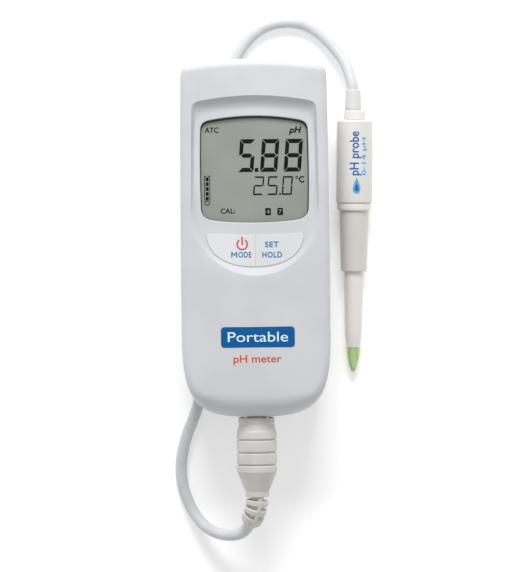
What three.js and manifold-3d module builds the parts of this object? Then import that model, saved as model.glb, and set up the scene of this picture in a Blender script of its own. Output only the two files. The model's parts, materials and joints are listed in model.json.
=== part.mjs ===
// A handheld pH meter with its probe lead plugged in, lying on its back, display up.
// Millimetres, +Z up, +X to the right of the display, +Y toward the top of the display.
// The sub-parts are laid out about the middle of the case, and the group is moved at the end so that
// the origin lies under the middle of the meter and its probe, on the surface they rest on.
import * as THREE from 'three';
import { mergeVertices } from 'three/addons/utils/BufferGeometryUtils.js';
import Module from 'manifold-3d';

const wasm = await Module();
wasm.setup();

// ---- driving dimensions ----
const GAP = 0.3;              // clearance between pieces that touch
const CASE_TOP_Y = 76.2;      // middle of the upper end
const CASE_BOTTOM_Y = -77.0;  // middle of the lower end
const CASE_HALF_WIDTH = 31.8;
const WALL = 2.2;
const BACK_Z = 12.0;          // flat back of the case
const PARTING_Z = 27.0;       // plane where the two shells meet
const RIM_Z = 41.4;           // front edge, before the gentle crown
const CROWN_Z = 42.0;         // highest point of the front
const ROOF_Z = 37.8;          // inner side of the front wall
const DISH_Z = 40.0;          // floor of the recess around the display and keys
const BOARD_Z = 28.5;         // lower side of the main board
const BOARD_THICK = 1.6;
const BOARD_TOP_Z = BOARD_Z + BOARD_THICK;
const KEY_TRAVEL = 0.8;
const BAY_Y = -32;            // middle of the battery bay
const BAY_HALF = new THREE.Vector2(16.9, 26);
const BAY_ROOF_Z = 24.8;
const COVER_HALF = new THREE.Vector2(20, 33);
const COVER_THICK = 1.8;
const BATTERY_RADIUS = 5.25;
const BATTERY_LENGTH = 44.5;
const BATTERY_PITCH = 10.9;
const BATTERY_Z = 19.2;
const CASE_SCREWS = [[-24, 66], [24, 66], [-24.8, -60], [24.8, -60]];
const COVER_SCREW_OFFSET = 30.2;
const PLUG_Z = PARTING_Z;     // axis of the socket and plug
const PLUG_RADIUS = 8.6;
const COLLAR_Y = CASE_BOTTOM_Y - 0.4;  // end of the plug's collar, just clear of the case
const CORD_RADIUS = 2.5;
const CORD_SIDES = 10;
const CORD_STEP = 11;
const TIE_THICK = 0.5;
const TIE_WIDTH = 8;
const HANK_OUTER = 27.8;      // end radius of the hank's outline
const HANK_INNER = 12.5;
const HANK_STRAIGHT = 28;     // straight length between the two round ends
const HANK_BOTTOM_Z = 0.75;
const HANK_TOP_Z = 10.9;
const HANK_SIDE_X = (HANK_OUTER + HANK_INNER) / 2;
const HEAD_RADIUS = 7.9;      // thickest part of the probe, which rests on the surface
const HEAD_CHAMFER = 0.5;
const PROBE_X = 44.5;
const PROBE_Y = 15.3;         // lower end of the probe head
const PROBE_TILT = 0.064;     // radians, tip down
const PROBE_YAW = 0.0135;     // radians, tip toward the case

const root = new THREE.Group();
root.name = 'ph_meter';

// ---- materials ----
function material(color, roughness, metalness = 0) {
  return new THREE.MeshStandardMaterial({ color, roughness, metalness });
}
const caseGrey = () => material(0xd9dbdc, 0.5);
const keyGrey = () => material(0xdfe1e2, 0.45);
const darkSeal = () => material(0x3a3c3e, 0.85);
const silicone = () => material(0xb9bcbc, 0.8);
const clearPlastic = () => material(0xc8d2c6, 0.15);
const boardGreen = () => material(0x2f6b45, 0.6);
const chipBlack = () => material(0x222326, 0.5);
const steel = () => material(0xb8babd, 0.3, 1);
const nickel = () => material(0xc9c6bd, 0.25, 1);
const batterySleeve = () => material(0x4a6f8f, 0.4);
const badgeBlue = () => material(0x005aa0, 0.5);
const cordGrey = () => material(0xdcdddb, 0.6);
const plugGrey = () => material(0xcdccc6, 0.65);
const tieGrey = () => material(0xe8e8e6, 0.6);
const probeWhite = () => material(0xe6e3dc, 0.45);
const tubeWhite = () => material(0xdad4ce, 0.35);
const tipGreen = () => material(0x96be5a, 0.15);

// ---- solids ----
function toSolid(geometry) {
  const bare = geometry.clone();
  bare.deleteAttribute('normal');
  bare.deleteAttribute('uv');
  const merged = mergeVertices(bare, 1e-4);
  const mesh = new wasm.Mesh({
    numProp: 3,
    vertProperties: new Float32Array(merged.attributes.position.array),
    triVerts: new Uint32Array(merged.index.array),
  });
  return new wasm.Manifold(mesh);
}

function toGeometry(solid) {
  const mesh = solid.getMesh();
  const geometry = new THREE.BufferGeometry();
  geometry.setAttribute('position', new THREE.BufferAttribute(mesh.vertProperties, 3));
  geometry.setIndex(new THREE.BufferAttribute(mesh.triVerts, 1));
  geometry.computeVertexNormals();
  return geometry;
}

function add(name, shape, look, parent = root) {
  const geometry = shape instanceof THREE.BufferGeometry ? shape : toGeometry(shape);
  const mesh = new THREE.Mesh(geometry, look);
  mesh.name = name;
  parent.add(mesh);
  return mesh;
}

function joined(solids) {
  return solids.reduce((whole, solid) => whole.add(solid));
}

function cut(body, tools) {
  return tools.reduce((rest, tool) => rest.subtract(tool), body);
}

// A closed solid through rings of points that all have the same count.
function loft(rings) {
  const count = rings[0].length;
  const points = rings.flat();
  const faces = [];
  for (let r = 0; r < rings.length - 1; r += 1) {
    for (let i = 0; i < count; i += 1) {
      const next = (i + 1) % count;
      const [a, b] = [r * count + i, r * count + next];
      faces.push(a, b, b + count, a, b + count, a + count);
    }
  }
  for (const [ring, flip] of [[0, true], [rings.length - 1, false]]) {
    const centre = points.length;
    const middle = new THREE.Vector3();
    rings[ring].forEach((point) => middle.addScaledVector(point, 1 / count));
    points.push(middle);
    for (let i = 0; i < count; i += 1) {
      const [a, b] = [ring * count + i, ring * count + ((i + 1) % count)];
      faces.push(...(flip ? [b, a, centre] : [a, b, centre]));
    }
  }
  const geometry = new THREE.BufferGeometry().setFromPoints(points);
  geometry.setIndex(faces);
  return geometry;
}

function ringAt(outline, z) {
  return outline.map((point) => new THREE.Vector3(point.x, point.y, z));
}

// A box between two corners.
function box(x0, y0, z0, x1, y1, z1) {
  const geometry = new THREE.BoxGeometry(x1 - x0, y1 - y0, z1 - z0);
  geometry.translate((x0 + x1) / 2, (y0 + y1) / 2, (z0 + z1) / 2);
  return toSolid(geometry);
}

// An upright cylinder.
function post(x, y, z0, z1, radius, sides = 16) {
  const geometry = new THREE.CylinderGeometry(radius, radius, z1 - z0, sides);
  geometry.rotateX(Math.PI / 2);
  geometry.translate(x, y, (z0 + z1) / 2);
  return toSolid(geometry);
}

// A solid turned about the Y axis from [radius, y] pairs that run from low y to high y.
function turned(profile, sides = 20) {
  return new THREE.LatheGeometry(profile.map(([r, y]) => new THREE.Vector2(r, y)), sides);
}

// A hollow turned piece: outer pairs from low y to high y, and one bore right through.
function sleeve(outer, bore, sides = 20) {
  const low = outer[0][1];
  const high = outer[outer.length - 1][1];
  return turned([[bore, low], ...outer, [bore, high], [bore, low]], sides);
}

// A plate of any outline between two heights.
function plate(shape, z0, z1, curveSegments = 12) {
  const geometry = new THREE.ExtrudeGeometry(shape, { depth: z1 - z0, bevelEnabled: false, curveSegments });
  geometry.translate(0, 0, z0);
  return toSolid(geometry);
}

function roundedRectangle(halfX, halfY, radius, x = 0, y = 0) {
  const shape = new THREE.Shape();
  const corners = [[1, -1, -90], [1, 1, 0], [-1, 1, 90], [-1, -1, 180]];
  for (const [sx, sy, turn] of corners) {
    const start = THREE.MathUtils.degToRad(turn);
    const [cx, cy] = [x + sx * (halfX - radius), y + sy * (halfY - radius)];
    shape.absarc(cx, cy, radius, start, start + Math.PI / 2, false);
  }
  return shape;
}

// A flat rectangular band with round corners.
function frame(halfX, halfY, radius, width, x = 0, y = 0) {
  const shape = roundedRectangle(halfX, halfY, radius, x, y);
  const inner = Math.max(radius - width, 0.2);
  shape.holes.push(roundedRectangle(halfX - width, halfY - width, inner, x, y));
  return shape;
}

// ---- case outline ----
// Gently barrelled sides, a shallow domed top with small corners, a bottom drawn in to big corners.
function caseOutline() {
  const half = new THREE.Shape();
  half.moveTo(0, CASE_BOTTOM_Y);
  half.quadraticCurveTo(5, CASE_BOTTOM_Y, 10, CASE_BOTTOM_Y + 0.5);
  half.bezierCurveTo(27.5, CASE_BOTTOM_Y + 1.6, 31.7, -66, 31.75, -42);
  half.quadraticCurveTo(31.85, 10, 31.2, CASE_TOP_Y - 7.2);
  half.quadraticCurveTo(31.1, CASE_TOP_Y - 2.2, 26, CASE_TOP_Y - 1.8);
  half.quadraticCurveTo(13, CASE_TOP_Y, 0, CASE_TOP_Y);
  const right = half.getPoints(6);
  const left = right.slice(1, -1).reverse().map((point) => new THREE.Vector2(-point.x, point.y));
  return [...right, ...left];
}

// The outline drawn in by its own amount at the sides, the top and the bottom.
function drawnIn(outline, side, top, bottom) {
  return outline.map(({ x, y }) => new THREE.Vector2(
    (x * (CASE_HALF_WIDTH - side)) / CASE_HALF_WIDTH,
    y > 0 ? (y * (CASE_TOP_Y - top)) / CASE_TOP_Y : (y * (CASE_BOTTOM_Y + bottom)) / CASE_BOTTOM_Y,
  ));
}

// How far a round edge of this radius has come in at a depth below the face.
function edgeInset(radius, depth) {
  const up = Math.max(radius - depth, 0);
  return radius - Math.sqrt(radius * radius - up * up);
}

const OUTLINE = caseOutline();

function frontSkin(inset, roof, depths) {
  return [RIM_Z - PARTING_Z + 1, ...depths].map((depth) => {
    const outline = drawnIn(
      OUTLINE,
      inset + edgeInset(3, depth),
      inset + edgeInset(3.5, depth),
      inset + edgeInset(10, depth),
    );
    return ringAt(outline, Math.min(RIM_Z - depth, roof));
  });
}

function rearSkin(inset, floor, depths) {
  return [...depths, PARTING_Z - BACK_Z + 1].map((depth) => {
    const outline = drawnIn(
      OUTLINE,
      inset + edgeInset(3, depth),
      inset + edgeInset(4, depth),
      inset + edgeInset(6, depth),
    );
    return ringAt(outline, Math.max(BACK_Z + depth, floor));
  });
}

// ---- recess on the front ----
// A tall U: a brow arc across the top and a half round at the bottom.
function dishOutline(halfWidth, shoulderY, browRise, bottomRadius) {
  const shape = new THREE.Shape();
  const centreY = 11;
  shape.absarc(0, centreY, bottomRadius, Math.PI, 2 * Math.PI, false);
  shape.quadraticCurveTo(halfWidth + 0.2, 35, halfWidth, shoulderY);
  shape.quadraticCurveTo(0, shoulderY + 2 * browRise, -halfWidth, shoulderY);
  shape.quadraticCurveTo(-halfWidth - 0.2, 35, -bottomRadius, centreY);
  return shape.getPoints(12).slice(0, -1);
}

function dishTool() {
  const floor = dishOutline(25.9, 52.2, 2.2, 24.7);
  const brim = dishOutline(26.8, 55.6, 2.1, 27.4);
  const high = dishOutline(27.2, 57.2, 2.1, 28.6);
  return toSolid(loft([ringAt(floor, DISH_Z), ringAt(brim, RIM_Z + 0.2), ringAt(high, CROWN_Z + 1)]));
}

function windowOutline(grow) {
  const shape = new THREE.Shape();
  const [x, top, rise, low, dip] = [23.0 + grow, 49.4 + grow, 2.5, 8 - grow, 1.7];
  const corner = 4.5;
  shape.moveTo(-x + corner, low - dip * 0.4);
  shape.quadraticCurveTo(0, low - dip * 1.6, x - corner, low - dip * 0.4);
  shape.quadraticCurveTo(x, low, x, low + corner);
  shape.quadraticCurveTo(x + 0.5, (top + low) / 2, x, top - corner);
  shape.quadraticCurveTo(x, top, x - corner, top + rise * 0.3);
  shape.quadraticCurveTo(0, top + rise * 1.6, -x + corner, top + rise * 0.3);
  shape.quadraticCurveTo(-x, top, -x, top - corner);
  shape.quadraticCurveTo(-x - 0.5, (top + low) / 2, -x, low + corner);
  shape.quadraticCurveTo(-x, low, -x + corner, low - dip * 0.4);
  return shape;
}

// The right half of the key crescent; the left half is its mirror image.
function keyOutline(grow, side) {
  const shape = new THREE.Shape();
  const [centreY, radius, split] = [11, 24 + grow, 0.3 - grow];
  const [topY, endX] = [1.7 + grow, 19.8 + grow];
  const endAngle = -Math.acos((endX + 1.6) / radius);
  shape.moveTo(side * split, topY - 0.5);
  shape.quadraticCurveTo(side * 10, topY - 0.5, side * endX, topY);
  const endY = centreY + radius * Math.sin(endAngle);
  shape.quadraticCurveTo(side * (endX + 2.2), topY, side * (endX + 1.6), endY);
  const steps = 8;
  const lastAngle = -Math.acos(split / radius);
  for (let i = 1; i <= steps; i += 1) {
    const angle = THREE.MathUtils.lerp(endAngle, lastAngle, i / steps);
    shape.lineTo(side * radius * Math.cos(angle), centreY + radius * Math.sin(angle));
  }
  shape.closePath();
  return shape;
}

function badgeShape(grow) {
  return roundedRectangle(15.8 + grow, 4.5 + grow, 1.5 + grow, 0, -42.4);
}

// ---- shells ----
function socketOpening() {
  const geometry = new THREE.CylinderGeometry(7.0 + GAP, 7.0 + GAP, 12, 24);
  geometry.translate(0, CASE_BOTTOM_Y + 2, PLUG_Z);
  return toSolid(geometry);
}

function buildFrontShell() {
  const rings = frontSkin(0, RIM_Z, [10, 6.4, 3.6, 1.8, 0.7, 0.1]);
  const crown = ringAt(drawnIn(OUTLINE, 16, 24, 30), CROWN_Z);
  const outer = toSolid(loft([...rings, crown]));
  const cavity = toSolid(loft(frontSkin(WALL, ROOF_Z, [10, 6, RIM_Z - ROOF_Z])));
  const bosses = CASE_SCREWS.map(([x, y]) => post(x, y, PARTING_Z - 1, ROOF_Z + 0.5, 3.6));
  const inside = outer.intersect(joined(bosses));
  const body = cut(outer, [cavity]).add(inside);
  const screwHoles = CASE_SCREWS.map(([x, y]) => post(x, y, PARTING_Z - 2, 36.4, 1.45 + GAP, 14));
  const keyHoles = [-1, 1].map((side) => plate(keyOutline(GAP, side), ROOF_Z - 2, DISH_Z + 2));
  const below = box(-40, -90, 0, 40, 90, PARTING_Z + GAP / 2);
  return cut(body, [
    below,
    dishTool(),
    plate(windowOutline(0), ROOF_Z - 2, DISH_Z + 2, 8),
    joined(keyHoles),
    plate(badgeShape(0.25), CROWN_Z - 1.0, CROWN_Z + 1, 6),
    socketOpening(),
    ...screwHoles,
  ]);
}

function buildRearShell() {
  const outer = toSolid(loft(rearSkin(0, BACK_Z, [0, 0.8, 2.4, 6])));
  const room = toSolid(loft(rearSkin(WALL, BACK_Z + WALL, [WALL, 6])));
  const block = box(-21.6, BAY_Y - 34.6, BACK_Z, 21.6, BAY_Y + 34.6, BAY_ROOF_Z + 1.4);
  const bosses = CASE_SCREWS.map(([x, y]) => post(x, y, BACK_Z, PARTING_Z + 1, 3.8));
  const inside = outer.intersect(joined([block, ...bosses]));
  const body = cut(outer, [room]).add(inside);
  const shafts = CASE_SCREWS.map(([x, y]) => post(x, y, BACK_Z - 1, PARTING_Z + 2, 1.45 + GAP, 14));
  const heads = CASE_SCREWS.map(([x, y]) => post(x, y, BACK_Z - 1, 15.6, 2.6 + GAP, 16));
  const coverScrews = [-1, 1].map((end) => (
    post(0, BAY_Y + end * COVER_SCREW_OFFSET, BACK_Z, 20.6, 1.2 + GAP, 14)));
  const recessTop = BACK_Z + COVER_THICK + GAP;
  const recess = roundedRectangle(COVER_HALF.x + GAP, COVER_HALF.y + GAP, 3 + GAP, 0, BAY_Y);
  const groove = frame(19.4, 27.9, 2.4, 1.8, 0, BAY_Y);
  const sealGroove = plate(sealShape(0.2), PARTING_Z - 1.6, PARTING_Z + 2);
  return cut(body, [
    box(-40, -90, PARTING_Z - GAP / 2, 40, 90, 60),
    box(-BAY_HALF.x, BAY_Y - BAY_HALF.y, BACK_Z - 1, BAY_HALF.x, BAY_Y + BAY_HALF.y, BAY_ROOF_Z),
    plate(recess, BACK_Z - 1, recessTop, 6),
    plate(groove, recessTop - 0.5, recessTop + 1, 6),
    sealGroove,
    socketOpening(),
    ...shafts,
    ...heads,
    ...coverScrews,
  ]);
}

// The seal between the shells: a thin band that follows the case, open around the socket.
function sealShape(grow) {
  const shape = new THREE.Shape(drawnIn(OUTLINE, 0.7 - grow, 0.7 - grow, 0.7 - grow));
  shape.holes.push(new THREE.Path(drawnIn(OUTLINE, 1.5 + grow, 1.5 + grow, 1.5 + grow)));
  return shape;
}

function buildSeal() {
  const band = plate(sealShape(0), PARTING_Z - 1.3, PARTING_Z);
  return cut(band, [box(-8, CASE_BOTTOM_Y - 5, 0, 8, CASE_BOTTOM_Y + 6, 60)]);
}

function buildCase() {
  add('front_shell', buildFrontShell(), caseGrey());
  add('rear_shell', buildRearShell(), caseGrey());
  add('case_gasket', buildSeal(), darkSeal());
  add('badge_plate', plate(badgeShape(0), CROWN_Z - 0.7, CROWN_Z + 0.1, 6), badgeBlue());
  CASE_SCREWS.forEach(([x, y], i) => {
    const screw = joined([post(x, y, 13.3, 15.2, 2.6, 16), post(x, y, 15, 35.8, 1.4, 12)]);
    add(`case_screw_${i + 1}`, cut(screw, [post(x, y, 12, 14.4, 0.9, 6)]), steel());
  });
}

// ---- display ----
function buildDisplay() {
  const lens = plate(windowOutline(-GAP), ROOF_Z - 1, 38.9, 8);
  const flange = plate(roundedRectangle(24.6, 23.4, 4, 0, 29), 36.3, ROOF_Z - GAP, 6);
  add('display_window', joined([lens, flange]), clearPlastic());
  add('lcd_glass', box(-23.6, 7.6, 33.4, 23.6, 49.8, 35.8), clearPlastic());
  const holder = plate(frame(25.2, 22.8, 1, 1.3, 0, 28.7), BOARD_TOP_Z + GAP, 35.8, 3);
  add('lcd_frame', holder, material(0xc9cccd, 0.5));
  add('zebra_strip_upper', box(-21, 46, BOARD_TOP_Z + GAP, 21, 48, 33.1), darkSeal());
  add('zebra_strip_lower', box(-21, 9.4, BOARD_TOP_Z + GAP, 21, 11.4, 33.1), darkSeal());
}

// ---- keys ----
function buildKey(side) {
  const cap = plate(keyOutline(0, side), 36.2, DISH_Z + 0.4);
  const flange = plate(keyOutline(0.7, side), 36.2, ROOF_Z - GAP - 0.1);
  const keepApart = box(side > 0 ? -5 : -0.3, -30, 30, side > 0 ? 0.3 : 5, 30, 45);
  const plunger = post(side * 9.5, -5, 33.9, 37, 2.2, 16);
  return cut(joined([cap, flange, plunger]), [keepApart]);
}

function buildKeys() {
  add('mode_key', buildKey(-1), keyGrey());
  add('hold_key', buildKey(1), keyGrey());
  const mat = plate(roundedRectangle(20, 6.2, 2, 0, -5.2), 31.9, 32.9, 4);
  add('keypad_mat', mat, silicone());
  add('mode_switch_dome', post(-9.5, -5, BOARD_TOP_Z + GAP, 31.5, 3, 16), steel());
  add('hold_switch_dome', post(9.5, -5, BOARD_TOP_Z + GAP, 31.5, 3, 16), steel());
}

// ---- electronics ----
function buildElectronics() {
  add('main_board', plate(roundedRectangle(25.5, 57, 3, 0, 2), BOARD_Z, BOARD_TOP_Z, 4), boardGreen());
  const underside = BOARD_Z - GAP;
  add('controller_chip', box(-5, 22, underside - 1.4, 5, 32, underside), chipBlack());
  add('input_amplifier_chip', box(-3, 8, underside - 1.4, 3, 12, underside), chipBlack());
  add('crystal', box(8, 24, underside - 2.5, 12, 33, underside), steel());
  add('beeper', post(-14, 38, underside - 6, underside, 6, 20), chipBlack());
}

// ---- socket ----
function buildSocket() {
  const mouth = CASE_BOTTOM_Y + 0.3;
  const outside = [[5.9, mouth], [7, mouth], [7, -66.8], [0, -66.8]];
  const cup = turned([...outside, [0, -68.2], [5.9, -68.2], [5.9, mouth]]);
  cup.translate(0, 0, PLUG_Z);
  add('socket_body', cup, chipBlack());
  const nut = sleeve([[9.2, -72.2], [9.2, -69.8]], 7 + GAP);
  nut.translate(0, 0, PLUG_Z);
  add('socket_nut', nut, nickel());
  const seal = sleeve([[8.6, -73.1], [8.6, -72.5]], 7 + GAP);
  seal.translate(0, 0, PLUG_Z);
  add('socket_seal', seal, darkSeal());
}

// ---- batteries ----
class SpringCurve extends THREE.Curve {
  getPoint(t) {
    const turn = t * 3.5 * 2 * Math.PI;
    const radius = THREE.MathUtils.lerp(3.2, 1.9, t);
    return new THREE.Vector3(radius * Math.cos(turn), 0.4 + 3.4 * t, radius * Math.sin(turn));
  }
}

function wireSection(radius, sides) {
  const points = [];
  for (let i = 0; i < sides; i += 1) {
    const angle = (i / sides) * 2 * Math.PI;
    points.push(new THREE.Vector2(radius * Math.cos(angle), radius * Math.sin(angle)));
  }
  return new THREE.Shape(points);
}

function buildBatteries() {
  const lowY = BAY_Y - BAY_HALF.y;
  const side = [[0, 0], [5, 0], [BATTERY_RADIUS, 0.3], [BATTERY_RADIUS, 43.4]];
  const can = [...side, [1.9, 43.5], [1.9, BATTERY_LENGTH], [0, BATTERY_LENGTH]];
  for (let i = 0; i < 3; i += 1) {
    const x = (i - 1) * BATTERY_PITCH;
    const turnedRound = i === 1;
    const column = new THREE.Group();
    column.position.set(x, turnedRound ? BAY_Y + BAY_HALF.y : lowY, BATTERY_Z);
    column.rotation.z = turnedRound ? Math.PI : 0;
    root.add(column);
    const battery = turned(can, 20);
    battery.translate(0, 5.4, 0);
    add(`battery_${i + 1}`, battery, batterySleeve(), column);
    const options = { steps: 30, bevelEnabled: false, extrudePath: new SpringCurve() };
    const coil = new THREE.ExtrudeGeometry(wireSection(0.35, 4), options);
    coil.translate(0, 0.7, 0);
    add(`contact_spring_${i + 1}`, coil, nickel(), column);
    const tab = box(-4, 2 * BAY_HALF.y - 1.2, -4.5, 4, 2 * BAY_HALF.y - 0.4, 4.5);
    add(`contact_plate_${i + 1}`, tab, nickel(), column);
  }
}

function buildBatteryCover() {
  const outline = roundedRectangle(COVER_HALF.x, COVER_HALF.y, 3, 0, BAY_Y);
  const lid = plate(outline, BACK_Z, BACK_Z + COVER_THICK, 6);
  const ends = [-1, 1].map((end) => BAY_Y + end * COVER_SCREW_OFFSET);
  const holes = ends.map((y) => post(0, y, BACK_Z - 1, BACK_Z + 3, 1.2 + GAP, 14));
  const seats = ends.map((y) => post(0, y, BACK_Z - 1, BACK_Z + 1.1, 2.2 + GAP, 16));
  add('battery_cover', cut(lid, [...holes, ...seats]), caseGrey());
  const sealZ = BACK_Z + COVER_THICK + GAP;
  const seal = plate(frame(19.1, 27.6, 2.1, 1.2, 0, BAY_Y), sealZ, sealZ + 0.7, 6);
  add('battery_cover_gasket', seal, darkSeal());
  ends.forEach((y, i) => {
    const screw = joined([post(0, y, BACK_Z + 0.1, BACK_Z + 0.9, 2.2, 16), post(0, y, 12.7, 20, 1.2, 12)]);
    add(`cover_screw_${i + 1}`, screw, steel());
  });
}

// ---- plug ----
function buildPlug() {
  const rings = [[8.0, COLLAR_Y], [8.2, -80], [8.45, -83.3]];
  for (const groove of [-86.8, -92.3, -97.6]) {
    rings.push([PLUG_RADIUS, groove + 0.9], [7.7, groove], [PLUG_RADIUS, groove - 0.9]);
  }
  rings.push([PLUG_RADIUS, -100.9], [5, -108.9], [5, -111.5], [0, -111.5]);
  const profile = [[0, -92.6], [5.9, -92.6], [5.9, COLLAR_Y], ...rings, [0, -92.6]];
  const grip = turned(profile.reverse());
  grip.translate(0, 0, PLUG_Z);
  add('plug_overmould', grip, plugGrey());
  const barrel = sleeve([[5.5, -92.2], [5.5, -68.6]], 4.7);
  barrel.translate(0, 0, PLUG_Z);
  add('plug_barrel', barrel, nickel());
  const insert = turned([[0, -92], [4.4, -92], [4.4, -70], [0, -70]]);
  insert.translate(0, 0, PLUG_Z);
  add('plug_insert', insert, chipBlack());
}

// A tube of changing radius along a curve.
function taperedTube(curve, radiusAt, steps, sides) {
  const frames = curve.computeFrenetFrames(steps, false);
  const rings = [];
  for (let i = 0; i <= steps; i += 1) {
    const centre = curve.getPointAt(i / steps);
    const ring = [];
    for (let k = 0; k < sides; k += 1) {
      const angle = (k / sides) * 2 * Math.PI;
      const point = centre.clone();
      point.addScaledVector(frames.normals[i], radiusAt(i / steps) * Math.cos(angle));
      point.addScaledVector(frames.binormals[i], radiusAt(i / steps) * Math.sin(angle));
      ring.push(point);
    }
    rings.push(ring);
  }
  return loft(rings);
}

// The boot sits a little toward the case, where the lead draws it.
const BOOT_ASIDE = -0.75;
const RELIEF_ROUTE = [
  [0, -111.9, 27], [0, -113.2, 27], [-0.6, -116.4, 26.4], [-1.5, -119.4, 25], [-2.7, -122.2, 22.8],
];

// The free stretches of the lead. The first runs from the strain relief to the hank, the second from
// the hank to the boot of the probe.
const LOWER_ROUTE = [
  [-2.95, -122.65, 22.45], [-4.8, -126.1, 19.6], [-7.9, -128.4, 17.2], [-11.7, -129.1, 14.8],
  [-15.5, -128.9, 12], [-19.9, -127.4, 8.8], [-24.3, -124.1, 5.6], [-27.9, -118.9, 3.5],
  [-30.8, -112.3, 2.6], [-32.3, -106.3, 2.5], [-32.7, -101, 2.5], [-32.3, -95.4, 2.5], [-31.1, -89.8, 2.5],
  [-29.4, -84.5, 2.5], [-27.3, -79.3, 2.5], [-25.2, -73.5, 2.5], [-23.9, -66, 2.5],
  [-23.6, -56, 2.6], [-24.3, -44, 2.9], [-25.1, -33.5, 3.2],
];
const UPPER_ROUTE = [
  [-18.8, 37.5, 8.3], [-17.4, 46, 7.4], [-15, 55, 5.6], [-12.2, 64, 3.7], [-9.3, 72.5, 2.7],
  [-6.7, 79.5, 2.5], [-4.2, 84, 2.5], [-0.5, 88.4, 2.5], [4.3, 92.2, 2.5], [9.5, 94.4, 2.5],
  [14.8, 95.3, 2.5], [19.5, 95.1, 2.5], [24.4, 93.8, 2.6], [29.3, 90.9, 3], [34, 86.6, 3.9],
  [37.9, 81.9, 5.3], [41.3, 76.5, 7.5], [43, 71.5, 9.5], [43.75, 68.1, 10.6], [44.15, 65.6, 11.1],
];

function curveThrough(route) {
  return new THREE.CatmullRomCurve3(route.map((point) => new THREE.Vector3(...point)), false, 'centripetal');
}

function cordTube(route) {
  const curve = curveThrough(route);
  const steps = Math.round(curve.getLength() / CORD_STEP);
  const options = { steps, bevelEnabled: false, extrudePath: curve };
  return new THREE.ExtrudeGeometry(wireSection(CORD_RADIUS, CORD_SIDES), options);
}

function hankOutline(radius) {
  const half = HANK_STRAIGHT / 2;
  const shape = new THREE.Shape();
  shape.absarc(0, half, radius, 0, Math.PI, false);
  shape.absarc(0, -half, radius, Math.PI, 2 * Math.PI, false);
  return shape;
}

function buildLead() {
  const relief = taperedTube(curveThrough(RELIEF_ROUTE), (t) => THREE.MathUtils.lerp(4.9, 4.5, t), 6, 16);
  add('strain_relief', relief, plugGrey());
  add('lead_lower_run', cordTube(LOWER_ROUTE), cordGrey());
  const hank = hankOutline(HANK_OUTER);
  hank.holes.push(hankOutline(HANK_INNER));
  add('lead_hank', plate(hank, HANK_BOTTOM_Z, HANK_TOP_Z, 16), cordGrey());
  add('lead_upper_run', cordTube(UPPER_ROUTE), cordGrey());
  const halfX = (HANK_OUTER - HANK_INNER) / 2 + 0.25 + TIE_THICK;
  const halfZ = (HANK_TOP_Z - HANK_BOTTOM_Z) / 2 + 0.25 + TIE_THICK;
  for (const [name, side] of [['hank_tie_left', -1], ['hank_tie_right', 1]]) {
    const band = plate(frame(halfX, halfZ, 1, TIE_THICK), -TIE_WIDTH / 2, TIE_WIDTH / 2, 5);
    const tie = add(name, band, tieGrey());
    tie.rotation.x = Math.PI / 2;
    tie.position.set(side * HANK_SIDE_X, 0, halfZ);
  }
}

// ---- probe ----
// Laid out along its own Y axis from the lower end of its head, then turned to rest on the surface.
function buildProbe() {
  const probe = new THREE.Group();
  probe.rotation.order = 'ZYX';
  probe.rotation.set(PROBE_TILT, 0, -PROBE_YAW);
  const restZ = HEAD_RADIUS * Math.cos(PROBE_TILT) - HEAD_CHAMFER * Math.sin(PROBE_TILT);
  probe.position.set(PROBE_X, PROBE_Y, restZ);
  root.add(probe);
  const put = (name, geometry, look) => add(name, geometry, look, probe);
  const boot = turned([[0, 40.8], [3.5, 40.8], [3.2, 49.6], [0, 49.6]]).translate(BOOT_ASIDE, 0, 0);
  put('probe_boot', boot, cordGrey());
  put('probe_collar', turned([[0, 36.7], [4.45, 36.7], [4.2, 40.5], [0, 40.5]]), probeWhite());
  const headOuter = [[7.5, 0], [HEAD_RADIUS, HEAD_CHAMFER], [HEAD_RADIUS, 35.6], [7.3, 36.4]];
  const head = [[5.7, 33.4], [5.7, 0], ...headOuter, [0, 36.4], [0, 33.4], [5.7, 33.4]];
  put('probe_head', turned(head), probeWhite());
  put('probe_head_ring', sleeve([[7.4, -3.2], [7.4, -GAP]], 5.0), tubeWhite());
  put('probe_sleeve', sleeve([[5.6, -29.9], [6.45, -3.5]], 4.55), tubeWhite());
  const stem = [[2.9, -63.7], [2.95, -63.5], [2.95, -58.4], [3.72, -58], [4.25, -30.4], [4.25, -6]];
  put('probe_shaft', sleeve(stem, 2.5), tubeWhite());
  const point = [[0, -74.7], [1.2, -74.2], [2.3, -72.2], [2.85, -69], [2.9, -64]];
  const bulb = [...point, [2.1, -64], [2.1, -60], [0, -60]];
  put('probe_glass_tip', turned(bulb), tipGreen());
  put('probe_reference_tube', sleeve([[1.7, -59.4], [1.7, -8]], 1.0, 12), clearPlastic());
  put('probe_temperature_sensor', turned([[0, -58], [0.6, -58], [0.6, -30], [0, -30]], 10), steel());
  put('probe_amplifier_board', box(-4.5, 2, -0.8, 4.5, 31, 0.8), boardGreen());
}

buildCase();
buildDisplay();
buildKeys();
buildElectronics();
buildSocket();
buildBatteries();
buildBatteryCover();
buildPlug();
buildLead();
buildProbe();

// ---- origin under the middle of the meter and its probe ----
const LEAD_PIECES = /^(lead|hank|plug|strain)_/;
root.updateMatrixWorld(true);
const ownBox = new THREE.Box3();
root.traverse((piece) => {
  if (piece.isMesh && !LEAD_PIECES.test(piece.name)) {
    ownBox.expandByObject(piece, true);
  }
});
const middle = ownBox.getCenter(new THREE.Vector3());
root.position.set(-middle.x, -middle.y, 0);

export default root;
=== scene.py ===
"""A handheld pH meter on its back with its probe lead plugged in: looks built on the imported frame.

Lengths are millimetres about the middle of the case, with the display facing up and its top toward +Y.
Each finished piece is put into the frame's metres by one matrix.
"""
import json
import math

import bmesh
import bpy
from mathutils import Matrix, Vector
from mathutils.geometry import convex_hull_2d, interpolate_bezier


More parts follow.
